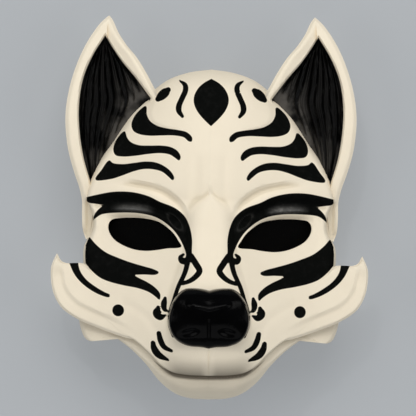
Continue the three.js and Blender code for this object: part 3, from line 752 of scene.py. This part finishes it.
def fur_relief(u, way, inward, from_head):
    """Relief, wear and painted sheen of fur that fans out from the tip. Locks lie side by side,
    differ in height, carry finer hair and end in points some way from the head, where the smooth
    floor between them shows worn paint. Grey along the hair of some locks near the head is a
    painted sheen."""
    bend = 0.3 * np.sin(2.4 * way + 1.9 * u) + 0.12 * np.sin(8 * way - 3.1 * u)
    place = FUR_STRANDS * (u + 1) / 2 + bend
    lock = np.floor(place)
    own = np.sin(lock * 12.9898 + 4.1) * 0.5 + 0.5
    aside = np.abs(place - lock - 0.5) * 2
    grown = np.clip((from_head - 0.5 - 8 * own) / (8 + 6 * own), 0, 1) ** 0.6
    covered = 1 - ease(grown - 0.3, grown + 0.001, aside)
    hair = np.abs(np.sin(math.pi * (2.6 * place + 0.6 * np.sin(5 * way + 2 * lock))))
    relief = covered * (0.7 + 0.9 * own + 0.6 * (1 - aside**2) + 0.5 * hair)
    tone = 0.5 + 0.5 * np.sin(78.233 * lock + 3 * way + 0.7 * place)
    near = 1 - 0.85 * ease(8, 30, from_head)
    # Worn paint on the floor near the head, and a painted sheen along the hair of some locks
    wear_and_sheen = (1 - covered) * (1 - ease(9, 24, from_head)) + 0.6 * near * covered * tone**2 * hair
    return relief * ease(0.8, 3.5, inward), wear_and_sheen


def ear_rings(steps=120):
    """A leaf between its two edges: s runs across it from -1 to 1, and way along it from 0 to 1.
    A raised rim falls steeply into a cup, whose floor carries the fur."""
    outer, inner = along(EAR_OUTER, steps)[:-1], along(EAR_INNER, steps)[:-1]
    way = (np.arange(steps) / steps)[:, None]
    reach = np.linalg.norm(inner - outer, axis=1)[:, None] / 2
    low = -1 + np.minimum(EAR_OUTER_RIM / reach, 0.9)
    high = 1 - np.minimum(EAR_INNER_RIM / reach, 0.9)
    high = np.maximum(high, low + 0.02)
    rim_steps = np.linspace(0, 1, 9)[None, :]
    cup_steps = np.linspace(0, 1, 74)[None, 1:-1]
    s = np.concatenate([-1 + (low + 1) * rim_steps, low + (high - low) * cup_steps,
                        high + (1 - high) * rim_steps], axis=1)
    front = outer[:, None] + (inner - outer)[:, None] * ((s + 1) / 2)[..., None]
    top = keyed(EAR_LEVEL, way)
    inward = (1 - np.abs(s)) * reach
    bevel = -2.5 * (1 - ease(0, 3, inward)) ** 1.6
    lean = -2 * np.clip(2 * (1 - s) * reach / EAR_INNER_RIM - 1, 0, 1.4) * (s > 0)
    hollow = nearest(curve(TEMPLE_HOLLOW), front[..., 0], front[..., 1])[0]
    lean = lean - 3.5 * bell(hollow, 2.8) * (way < 0.25)
    cup = -inside_distance(ring_of(EAR_CUP), front[..., 0], front[..., 1], 30)
    from_head = nearest(curve(EAR_CUP[2]), front[..., 0], front[..., 1])[0]
    depth = ease(2, 12, reach)
    u = np.clip((s - low) / (high - low), 0, 1) * 2 - 1
    fur, wear_and_sheen = fur_relief(u, way, cup, from_head)
    z = top + bevel + lean + (fur * (cup > 0) - EAR_RECESS * ease(-0.5, 1.6, cup)) * depth
    front = np.concatenate([front, z[..., None]], axis=2)
    back_s = np.array([0.97, 0.8, 0.5, 0.2, -0.2, -0.5, -0.8, -0.97])
    back = outer[:, None] + (inner - outer)[:, None] * ((back_s + 1) / 2)[None, :, None]
    back_z = top - EAR_THICKNESS + 3 * np.abs(back_s) ** 3
    back = np.concatenate([back, back_z[..., None]], axis=2)
    rings = np.concatenate([front, back], axis=1)
    tip = np.broadcast_to([*EAR_OUTER[-1], EAR_LEVEL[-1][1] - EAR_THICKNESS / 2],
                          rings[0].shape)
    rings = np.concatenate([closed_ends(rings)[:-1], tip[None]])
    # Wear and painted sheen on the fur in the cup, and -1 on the back
    wear_and_sheen = np.concatenate([wear_and_sheen * (cup > 1), np.full((steps, len(back_s)), -1)], axis=1)
    wear_and_sheen = np.pad(wear_and_sheen, ((1, 1), (0, 0)))
    return rings, wear_and_sheen


def tuft_rings(steps=64):
    """A hook between its two edges that carries the cheek's own surface outwards."""
    outer, inner = along(TUFT_OUTER, steps)[:-1], along(TUFT_INNER, steps)[:-1]
    way = (np.arange(steps) / steps)[:, None]
    reach = np.linalg.norm(inner - outer, axis=1)[:, None] / 2
    s = np.linspace(-1, 1, 44)[None, :]
    lift = TUFT_LIFT * way**3
    thick = TUFT_THICKNESS * (1 - 0.45 * way)

    def place(s, drop):
        flat = outer[:, None] + (inner - outer)[:, None] * ((s + 1) / 2)[..., None]
        x, y = flat[..., 0], flat[..., 1]
        z = sunk_height(x, y) - 0.2 + lift - drop
        return np.stack([x, y, z], axis=2)
    inward = (1 - np.abs(s)) * reach
    front = place(s, 2.2 * (1 - ease(0, 2, inward)) ** 1.5)
    back_s = np.array([[0.9, 0.45, 0, -0.45, -0.9]])
    back = place(back_s, thick + 0 * back_s)
    rings = np.concatenate([front, back], axis=1)
    tx, ty = TUFT_OUTER[-1]
    tip = np.broadcast_to([tx, ty, dome_height(tx, ty) + 1.5], rings[0].shape)
    return np.concatenate([closed_ends(rings)[:-1], tip[None]])


def eye_seat():
    """The outlines of eye, screen and seat, and the flat seat's height above the sheet."""
    eye = along(EYE_OUTLINE, 120, closed=True)[:-1]
    facing = normals(eye, closed=True)
    screen = eye - SCREEN_LAP * facing
    seat = eye - SEAT_LAP * facing
    inner, outer = EYE_ENDS
    slope = (dome_height(*outer) - dome_height(*inner)) / (outer[0] - inner[0])
    inside = behind_wall(dome_height)(seat[:, 0], seat[:, 1])
    level = (inside - slope * seat[:, 0]).min() - SEAT_MARGIN
    return eye, screen, seat, slope, level


def both(name, rings, *kept):
    """A solid and its mirror image."""
    return [solid(name + " right", rings, *kept), solid(name + " left", mirrored(rings), *kept)]


def neck_cut():
    """The lower edge's cut under the chin: a profile in height and depth carried sideways."""
    corner = [(NECK_CUT[-1][0], NECK_CUT[0][1])]
    loop = np.vstack([along(NECK_CUT, 40), corner])
    rings = np.stack([np.column_stack([np.full(len(loop), x), loop])
                      for x in (-NECK_HALF_SPAN, NECK_HALF_SPAN)])
    return solid("neck cut", closed_ends(rings))


def block(name, low, high):
    """A box between two corners, as two rings of four points closed at their ends."""
    (x0, y0, z0), (x1, y1, z1) = low, high
    rings = np.array([[(x, y0, z0), (x, y1, z0), (x, y1, z1), (x, y0, z1)] for x in (x0, x1)],
                     float)
    return solid(name, closed_ends(rings))


def outer_form():
    """The face with jaw, nose, ears and tufts joined to it, still solid."""
    ears, ear_wear_and_sheen = ear_rings()
    others = [
        solid("jaw", cushion(**JAW, rows=110, flat_steps=22, roll_steps=12, height=jaw_height,
                             floor=-2)),
        solid("nose", cushion(**NOSE, rows=80, flat_steps=34, roll_steps=12,
                              height=nose_height, floor=70,
                              base=lambda x, y: front_height(x, y) - 2), NOSE_FINISH),
        *both("ear", ears, EAR_FINISH, ear_wear_and_sheen),
        *both("tuft", tuft_rings()),
    ]
    body = solid("mask_casting_body", cushion(**FACE, rows=210, flat_steps=96, roll_steps=16,
                                              height=sunk_height, floor=-2))
    return combine(body, others, "UNION")


def seats_and_pads(body):
    """The parts of the solid form that stay inside the hollow, behind eyes and temples."""
    _, _, seat, slope, level = eye_seat()
    seats = both("seat", prism(seat, lambda x, y: level + slope * np.abs(x),
                               lambda x, y: CLEAR_ABOVE))
    side = max(x for x, y in FACE_OUTLINE) - WALL - PAD_PROUD
    pads = [block("pad", (sign * side, PAD_SPAN[0], PAD_LEVELS[0]),
                  (sign * (side + 20), PAD_SPAN[1], PAD_LEVELS[1])) for sign in (1, -1)]
    shape = body.copy()
    shape.data = body.data.copy()
    bpy.context.scene.collection.objects.link(shape)
    keep = combine(seats[0], [seats[1], *pads], "UNION")
    return combine(shape, [keep], "INTERSECT")


def hollows():
    """The spaces behind the face and in the jaw, one wall inside the outer form."""
    face = cushion(**FACE, rows=90, flat_steps=36, roll_steps=8,
                   height=behind_wall(smooth_front), floor=-4, inset=WALL)
    jaw = cushion(**JAW, rows=60, flat_steps=12, roll_steps=6,
                  height=behind_wall(jaw_height), floor=-4, inset=WALL)
    return [solid("hollow", face), solid("hollow jaw", jaw)]


def mask_body():
    """The casting: the outer form hollowed, with its seats and pads, and then cut open."""
    body = outer_form()
    kept = seats_and_pads(body)
    combine(body, hollows(), "DIFFERENCE")
    combine(body, [kept], "UNION")
    eye = eye_seat()[0]
    holes = both("eye hole", prism(eye, lambda x, y: CLEAR_BELOW, lambda x, y: CLEAR_ABOVE))
    ground = block("ground", (-200, -200, -20), (200, 200, 0))
    return combine(body, [*holes, neck_cut(), ground], "DIFFERENCE")


def woven_screen(name, mirror):
    """A woven screen on the seat's slope. Its front carries the relief of a plain weave, which is
    the relief's height times cos(pi u) cos(pi v) over u threads across and v threads along."""
    _, screen, _, slope, level = eye_seat()
    middle = (screen.min(0) + screen.max(0)) / 2
    share = np.linspace(0, 1, 65)[:, None, None]
    flat = middle + (screen - middle)[None] * share
    x, y = flat[..., 0], flat[..., 1]
    seat = level + slope * x
    weave = (WEAVE_RELIEF * np.cos(math.pi * x / WEAVE_PITCH)
             * np.cos(math.pi * y / WEAVE_PITCH))
    top = seat - GLUE_GAP - WEAVE_RELIEF + weave * (share[..., 0] < 0.97)
    upper = np.stack([x, y, top], axis=2)
    under = np.stack([x, y, seat - (GLUE_GAP + SCREEN_THICKNESS)], axis=2)
    loop = np.concatenate([upper, under[::-1]])
    return solid(name, mirrored(loop) if mirror else loop)


class Socket:
    """A shader value that Python's operators can be used on."""

    def __init__(self, tree, link):
        self.tree = tree
        self.link = link

    def math(self, operation, *others):
        """The outcome of a sum with this value and others, which may be numbers."""
        node = self.tree.nodes.new("ShaderNodeMath")
        node.operation = operation
        for place, value in zip(node.inputs, (self, *others)):
            if isinstance(value, Socket):
                self.tree.links.new(value.link, place)
            else:
                place.default_value = value
        return Socket(self.tree, node.outputs[0])

    def __add__(self, other):
        return self.math("ADD", other)

    def __sub__(self, other):
        return self.math("SUBTRACT", other)

    def __rsub__(self, other):
        return (self * -1).math("ADD", other)

    def __mul__(self, other):
        return self.math("MULTIPLY", other)

    __radd__ = __add__
    __rmul__ = __mul__


class Shader:
    """One material: its node tree, its shader and a method that makes any node."""

    def __init__(self, name, **values):
        self.material = bpy.data.materials.new(name)
        self.material.use_nodes = True
        self.tree = self.material.node_tree
        self.shader = self.tree.nodes["Principled BSDF"]
        for key, value in values.items():
            self.shader.inputs[key.replace("_", " ")].default_value = value

    def node(self, kind, settings=None, output=0, **values):
        """One output of a new node. Each value goes to the input of its name, or to the input
        with the number after its underscore."""
        made = self.tree.nodes.new("ShaderNode" + kind)
        for key, value in (settings or {}).items():
            setattr(made, key, value)
        for key, value in values.items():
            place = made.inputs[int(key[1:])] if key[1:].isdigit() else made.inputs[key]
            if isinstance(value, Socket):
                self.tree.links.new(value.link, place)
            else:
                place.default_value = value
        return Socket(self.tree, made.outputs[output])

    def set(self, key, value):
        """Leads a value to an input of the material's shader."""
        self.tree.links.new(value.link, self.shader.inputs[key])

    def place(self):
        return self.node("TexCoord", output="Object")

    def attribute(self, name):
        return self.node("Attribute", {"attribute_name": name}, output="Fac")

    def noise(self, scale, detail=3.0, roughness=0.5, vector=None):
        return self.node("TexNoise", {"noise_dimensions": "3D"}, Vector=vector or self.place(),
                         Scale=scale, Detail=detail, Roughness=roughness)

    def ramp(self, value, low, high):
        """0 where the value is below low, 1 above high, and smooth between."""
        return self.node("MapRange", {"interpolation_type": "SMOOTHSTEP"}, Value=value,
                         **{"_1": low, "_2": high})

    def mix(self, share, first, second):
        """The first colour, with a share of the second."""
        return self.node("Mix", {"data_type": "RGBA"}, output=2, _0=share, _6=first, _7=second)

    def bump(self, height, distance):
        return self.node("Bump", Height=height, Distance=distance, Strength=1.0)


def srgb(red, green, blue):
    """Linear colour from 0 to 255 display values."""
    def linear(v):
        v = v / 255
        return v / 12.92 if v <= 0.04045 else ((v + 0.055) / 1.055) ** 2.4
    return (linear(red), linear(green), linear(blue), 1)


CREAM = srgb(240, 229, 208)
CREAM_DULL = srgb(229, 217, 195)
# Painted shade in the crevices darkens the cream towards this colour
CREAM_SHADE_PAINT = srgb(206, 193, 168)
BLACK_PAINT = srgb(13, 14, 13)
BLACK_WORN = srgb(28, 28, 27)
# Brown painted shade along the seam under the lip and tufts, and on the lip near it
SEAM_SHADE_PAINT = srgb(104, 96, 84)
# A grey painted sheen on the black of the lids and round the brow's oval
LID_PAINTED_SHEEN = srgb(122, 120, 115)
FUR_BLACK = srgb(3, 3, 3)
# Grey for worn paint and for the painted sheen on the fur
FUR_WORN_AND_SHEEN = srgb(80, 77, 73)
NOSE_BLACK = srgb(1, 1, 1)
NOSE_CLOUD = srgb(4, 4, 5)
THREAD_BLACK = srgb(4, 4, 4)
PAPER_GLOW = srgb(175, 179, 183)
PAPER = srgb(126, 129, 132)
PAPER_CLOUD = srgb(122, 125, 128)


def cream_paint(s):
    """Cream satin paint, a little uneven and darkened by painted shade in the crevices, and its
    unevenness.
    """
    tone = s.ramp(s.noise(60, 4, 0.6), 0.3, 0.75)
    cream = s.mix(tone * 0.22, CREAM, CREAM_DULL)
    # Painted shade: the cream darkens where the crevice measure is high
    crevice_shade_share = s.ramp(s.attribute("crevice_shade"), 0.1, 1.0) * 0.45
    return s.mix(crevice_shade_share, cream, CREAM_SHADE_PAINT), tone


def painted_casting():
    """Cream satin paint. Black lies where the paint distance is below about 0.25 mm, brown
    painted shade lies in the seam under lip and tufts and on the lip near it, and the lids have a
    coat gloss and a grey painted sheen."""
    s = Shader("painted casting", Specular_IOR_Level=0.0, Coat_Roughness=0.4)
    cream, tone = cream_paint(s)
    mask = 1 - s.ramp(s.attribute("paint"), 0.1, 0.4)
    fine = s.noise(900, 3, 0.55)
    wear_and_sheen = s.ramp(s.noise(240, 4, 0.65), 0.45, 0.8)
    black = s.mix(wear_and_sheen * 0.5, BLACK_PAINT, BLACK_WORN)
    # Painted sheen: grey painted into the black along the lid and round the brow's oval
    black = s.mix(s.attribute("gloss_and_painted_sheen") * (0.25 + 0.5 * wear_and_sheen), black, LID_PAINTED_SHEEN)
    seam = s.attribute("seam")
    # Painted shade: darkest at the seam, fading down the jaw, and on the lip near its edge
    painted_shade = 0.9 - 0.7 * s.ramp(seam, 0.5, 2.4) - 0.2 * s.ramp(seam, 2, 15)
    painted_shade = painted_shade + 0.75 * s.attribute("shade")
    s.set("Base Color", s.mix(mask, s.mix(painted_shade, cream, SEAM_SHADE_PAINT), black))
    s.set("Roughness", 0.48 + 0.1 * tone - 0.1 * mask + 0.06 * fine)
    s.set("Coat Weight", s.attribute("gloss_and_painted_sheen") * (0.9 + 0.6 * fine))
    s.set("Normal", s.bump(fine, 0.00004))
    return s.material


def ear_finish():
    """Cream on the rim. Inside the cup, black over the fur, with worn grey and a grey painted
    sheen.
    """
    s = Shader("ear paint", Specular_IOR_Level=0.08)
    cream, tone = cream_paint(s)
    mask = 1 - s.ramp(s.attribute("cup"), -0.7, -0.4)
    lock = s.node("Mapping", Vector=s.place(), Scale=(1.0, 0.12, 1.0))
    streak = s.noise(420, 4, 0.65, vector=lock)
    cloud = s.noise(70, 3, 0.5)
    # Worn grey between the locks, and a grey painted sheen along the hair and the streaks
    worn_and_sheen = s.attribute("wear_and_sheen") * s.ramp(cloud, 0.35, 0.6) + 0.05 * s.ramp(streak, 0.55, 0.8)
    black = s.mix(worn_and_sheen, FUR_BLACK, FUR_WORN_AND_SHEEN)
    s.set("Base Color", s.mix(mask, cream, black))
    s.set("Roughness", 0.5 - 0.2 * mask + 0.2 * streak * mask)
    s.set("Normal", s.bump(streak * mask, 0.00025))
    return s.material


def nose_gloss():
    """Deep black gloss paint, a little uneven under its lacquer."""
    s = Shader("gloss nose", Specular_IOR_Level=0.05)
    cloud = s.noise(110, 4, 0.6)
    s.set("Base Color", s.mix(cloud, NOSE_BLACK, NOSE_CLOUD))
    s.set("Roughness", 0.1 + 0.14 * cloud)
    s.set("Normal", s.bump(s.noise(420, 3, 0.5), 0.00009))
    return s.material


def screen_mesh():
    """Dull black mesh."""
    s = Shader("screen mesh", Roughness=0.9, Specular_IOR_Level=0.05)
    thread = s.node("TexWave", {"wave_type": "BANDS"}, Vector=s.place(), Scale=300.0)
    s.set("Base Color", s.mix(thread, NOSE_BLACK, THREAD_BLACK))
    return s.material


def studio_floor():
    """Pale grey studio paper, lit through from below so that shadows on it stay faint."""
    s = Shader("studio paper", Roughness=0.9, Emission_Color=PAPER_GLOW,
               Emission_Strength=0.5)
    cloud = s.noise(6, 2)
    s.set("Base Color", s.mix(cloud * 0.2, PAPER, PAPER_CLOUD))
    return s.material


def vertex_vectors(mesh, kind="co"):
    """The places of all vertices of a mesh as one array, or their normals."""
    flat = np.empty(len(mesh.vertices) * 3, np.float32)
    mesh.vertices.foreach_get(kind, flat)
    return flat.reshape(-1, 3).astype(float)


def crevices(mesh, points):
    """How far each vertex lies below the mean of its neighbours, smoothed and spread."""
    edges = np.empty(len(mesh.edges) * 2, np.int32)
    mesh.edges.foreach_get("vertices", edges)
    a, b = edges.reshape(-1, 2).T
    count = np.bincount(a, minlength=len(points)) + np.bincount(b, minlength=len(points))

    def spread(v):
        total = (np.bincount(a, v[b], len(points)) + np.bincount(b, v[a], len(points)))
        return total / np.maximum(count, 1)
    smooth = points.copy()
    for _ in range(6):
        smooth = np.stack([spread(smooth[:, i]) for i in range(3)], axis=1)
    depth = ((smooth - points) * vertex_vectors(mesh, "normal")).sum(1)
    for _ in range(3):
        depth = 0.5 * depth + 0.5 * spread(depth)
    return np.clip(depth, 0, 1)


def paint_distance(points, up, sunk):
    """Signed distance to the black paint on the front and a little way down its side walls."""
    x, y, z = points.T
    some = np.flatnonzero((z > RIM_LEVEL) & (sunk < PAINTED_WALL) & ((up > -0.25) | (sunk < 2)))
    brow = inside_distance(ring_of(BROW_MARK), *as_seen(x[some], y[some], z[some]))
    paint = np.full(len(points), float(MARK_REACH))
    paint[some] = np.minimum(brow, mark_distance(x[some], y[some], z[some]))
    return paint


def seam_distance(points, sunk, off_face):
    """Distance from the lip and the tufts' lower edge, on the jaw and the walls below them."""
    x, y, z = points.T
    across = np.abs(x)
    below = (sunk > 2.5) | (off_face & (across < 40))
    some = np.flatnonzero(below & (z > RIM_LEVEL) & (y < -50))
    edges = [nearest(curve(path), across[some], y[some])[0] for path in (LIP, TUFT_OUTER[:6])]
    side = ease(20, 40, across[some])
    from_edge = np.minimum.reduce(edges) * (1 + 1.6 * side) + 0.9 * side
    seam = np.full(len(points), float(SHADE_PAINT_REACH))
    seam[some] = np.minimum(from_edge, SHADE_PAINT_REACH)
    return seam


def lip_shade(across, y):
    """Painted shade on the lip itself, strongest at its edge and weaker on the middle line."""
    lip = nearest(curve(LIP), across, y)[0]
    shade = np.exp(-((lip / 7.5) ** 1.6)) * (1 - ease(18, 33, across))
    return shade * (0.5 + 0.5 * ease(0.5, 6, across))


def lid_gloss_and_painted_sheen(across, y):
    """Gloss and painted sheen along the middle stretch of the lid's edge and round the brow's oval.
    """
    lid, _, share = nearest(curve(LID_EDGE), across, y)
    gloss_and_painted_sheen = bell(lid - 2.8, 1.9) * between(0.4, 0.53, 0.6, 0.75, share)
    return gloss_and_painted_sheen + 0.22 * bell(brow_oval(across, y) - 1, 0.14)


def cup_distance(mesh, across, y):
    """Signed distance to the edge of the ear's cup, and out of reach on the ears' backs."""
    wear_and_sheen = np.empty(len(mesh.vertices), np.float32)
    mesh.attributes["wear_and_sheen"].data.foreach_get("value", wear_and_sheen)
    return np.where(wear_and_sheen > -0.5, inside_distance(ring_of(EAR_CUP), across, y), MARK_REACH)


def dress_casting(body):
    """Keeps the paint's values on the casting and gives its faces their finishes."""
    mesh = body.data
    points = vertex_vectors(mesh)
    x, y, z = points.T
    across = np.abs(x)
    up = vertex_vectors(mesh, "normal")[:, 2]
    sunk = front_height(x, y) - z
    ends = [(-10, FACE_OUTLINE[-1][1]), (-10, FACE_OUTLINE[0][1])]
    off_face = inside_distance(np.vstack([curve(FACE_OUTLINE), ends]), across, y) > -0.3
    temple_shade = bell(nearest(curve(TEMPLE_HOLLOW), across, y)[0], 3.5)
    keep_values(mesh, "paint", paint_distance(points, up, sunk))
    # Painted shade in the crevices and along the temple's hollow beside the ear
    keep_values(mesh, "crevice_shade", crevices(mesh, points) * 2.2 + 0.8 * temple_shade)
    # Distance for the painted shade below the lip and the tufts
    keep_values(mesh, "seam", seam_distance(points, sunk, off_face))
    # Painted shade on the lip near its lower edge
    keep_values(mesh, "shade", lip_shade(across, y) * ~off_face * (z > 60))
    # Coat gloss and grey painted sheen on the lid and round the brow's oval
    keep_values(mesh, "gloss_and_painted_sheen", lid_gloss_and_painted_sheen(across, y))
    keep_values(mesh, "cup", cup_distance(mesh, across, y))

    finish = np.zeros(len(mesh.polygons), np.int32)
    mesh.attributes["finish"].data.foreach_get("value", finish)
    mesh.materials.clear()
    for material in (painted_casting(), ear_finish(), nose_gloss()):
        mesh.materials.append(material)
    mesh.polygons.foreach_set("material_index", finish)


def model_scale(casting):
    """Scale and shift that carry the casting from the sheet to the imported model, in metres."""
    points = vertex_vectors(casting.data)
    own_low, own_high = points.min(0), points.max(0)
    low, high = (np.array(corner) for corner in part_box("mask_casting"))
    scale = (high - low) / (own_high - own_low)
    return scale, low - own_low * scale


def to_model(piece, scale, shift):
    """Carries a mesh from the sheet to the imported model."""
    points = vertex_vectors(piece.data) * scale + shift
    piece.data.vertices.foreach_set("co", points.astype(np.float32).ravel())
    piece.data.update()


def soften(piece, sharp_angle=38):
    """Smooth shading, with edges sharper than an angle left crisp."""
    piece.data.shade_smooth()
    piece.data.set_sharp_from_angle(angle=math.radians(sharp_angle))


def make_casting():
    """The finished casting in its place, and the scale and shift that brought it there."""
    body = mask_body()
    body.name = "mask"
    dress_casting(body)
    scale, shift = model_scale(body)
    to_model(body, scale, shift)
    soften(body)
    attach(body, "root")
    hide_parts("mask_casting")
    return scale, shift


def make_screens(scale, shift):
    """Both woven screens on their seats."""
    material = screen_mesh()
    for side, mirror in (("right", False), ("left", True)):
        screen = woven_screen("woven_screen_" + side, mirror)
        to_model(screen, scale, shift)
        screen.data.materials.append(material)
        screen.data.shade_smooth()
        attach(screen, "root")
        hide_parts("eye_screen_" + side)


def make_floor():
    """A square of paper just under the mask."""
    size = 1.6
    corners = np.array([(-size, -size, 0), (size, -size, 0), (size, size, 0), (-size, size, 0)])
    floor = mesh_object("floor", corners, np.array([(0, 1, 2), (0, 2, 3)]))
    floor.location.z = -0.0002
    floor.data.materials.append(studio_floor())


def area_light(name, place, aim, size, watts, colour=(1, 1, 1)):
    """A soft square light at a place, turned towards an aim."""
    light = bpy.data.lights.new(name, "AREA")
    light.shape = "SQUARE"
    light.size = size
    light.energy = watts
    light.color = colour
    lamp = bpy.data.objects.new(name, light)
    bpy.context.scene.collection.objects.link(lamp)
    lamp.location = place
    way = np.array(aim, float) - np.array(place, float)
    lamp.rotation_euler = (math.atan2(math.hypot(way[0], way[1]), -way[2]), 0,
                           math.atan2(way[1], way[0]) - QUARTER_TURN)
    return lamp


def make_lights():
    """A broad soft light from above the head and a small one beside it, weaker ones from the
    chin and both sides, and a dim room."""
    world = bpy.data.worlds.new("studio")
    world.use_nodes = True
    world.node_tree.nodes["Background"].inputs[0].default_value = (0.9, 0.95, 1.0, 1)
    world.node_tree.nodes["Background"].inputs[1].default_value = 0.17
    bpy.context.scene.world = world
    middle = (0, 0, 0.05)
    area_light("key", (0.1, 1.5, 1.75), middle, 1.9, 34, (1.0, 0.985, 0.96))
    area_light("small key", (-0.35, 1.25, 1.95), middle, 0.09, 4, (1.0, 0.99, 0.97))
    area_light("fill", (0, -1.8, 1.3), middle, 1.6, 8)
    for sign in (1, -1):
        area_light("side", (sign * 1.7, -0.2, 1.35), middle, 1.4, 12, (1.0, 0.99, 0.97))
    bpy.context.scene.view_settings.view_transform = "Standard"
    bpy.context.scene.view_settings.look = "None"


def make_camera():
    """A long lens straight over the mask, as the photograph sees it."""
    pixels = 416
    mm_per_pixel = 0.64
    middle_px = (210.1, 207.8)
    lean = 0.0102
    distance = CAMERA_HEIGHT * MM
    seen_level = DRAWING_LEVEL * MM
    camera = bpy.data.cameras.new("camera")
    camera.sensor_width = 36
    width = pixels * mm_per_pixel * MM
    camera.lens = camera.sensor_width * (distance - seen_level) / width
    camera.clip_end = 20
    holder = bpy.data.objects.new("camera", camera)
    bpy.context.scene.collection.objects.link(holder)
    holder.location = ((pixels / 2 - middle_px[0]) * mm_per_pixel * MM,
                       (middle_px[1] - pixels / 2) * mm_per_pixel * MM, distance)
    holder.rotation_euler = (0, 0, lean)
    bpy.context.scene.camera = holder


make_camera()
make_lights()
make_floor()
make_screens(*make_casting())
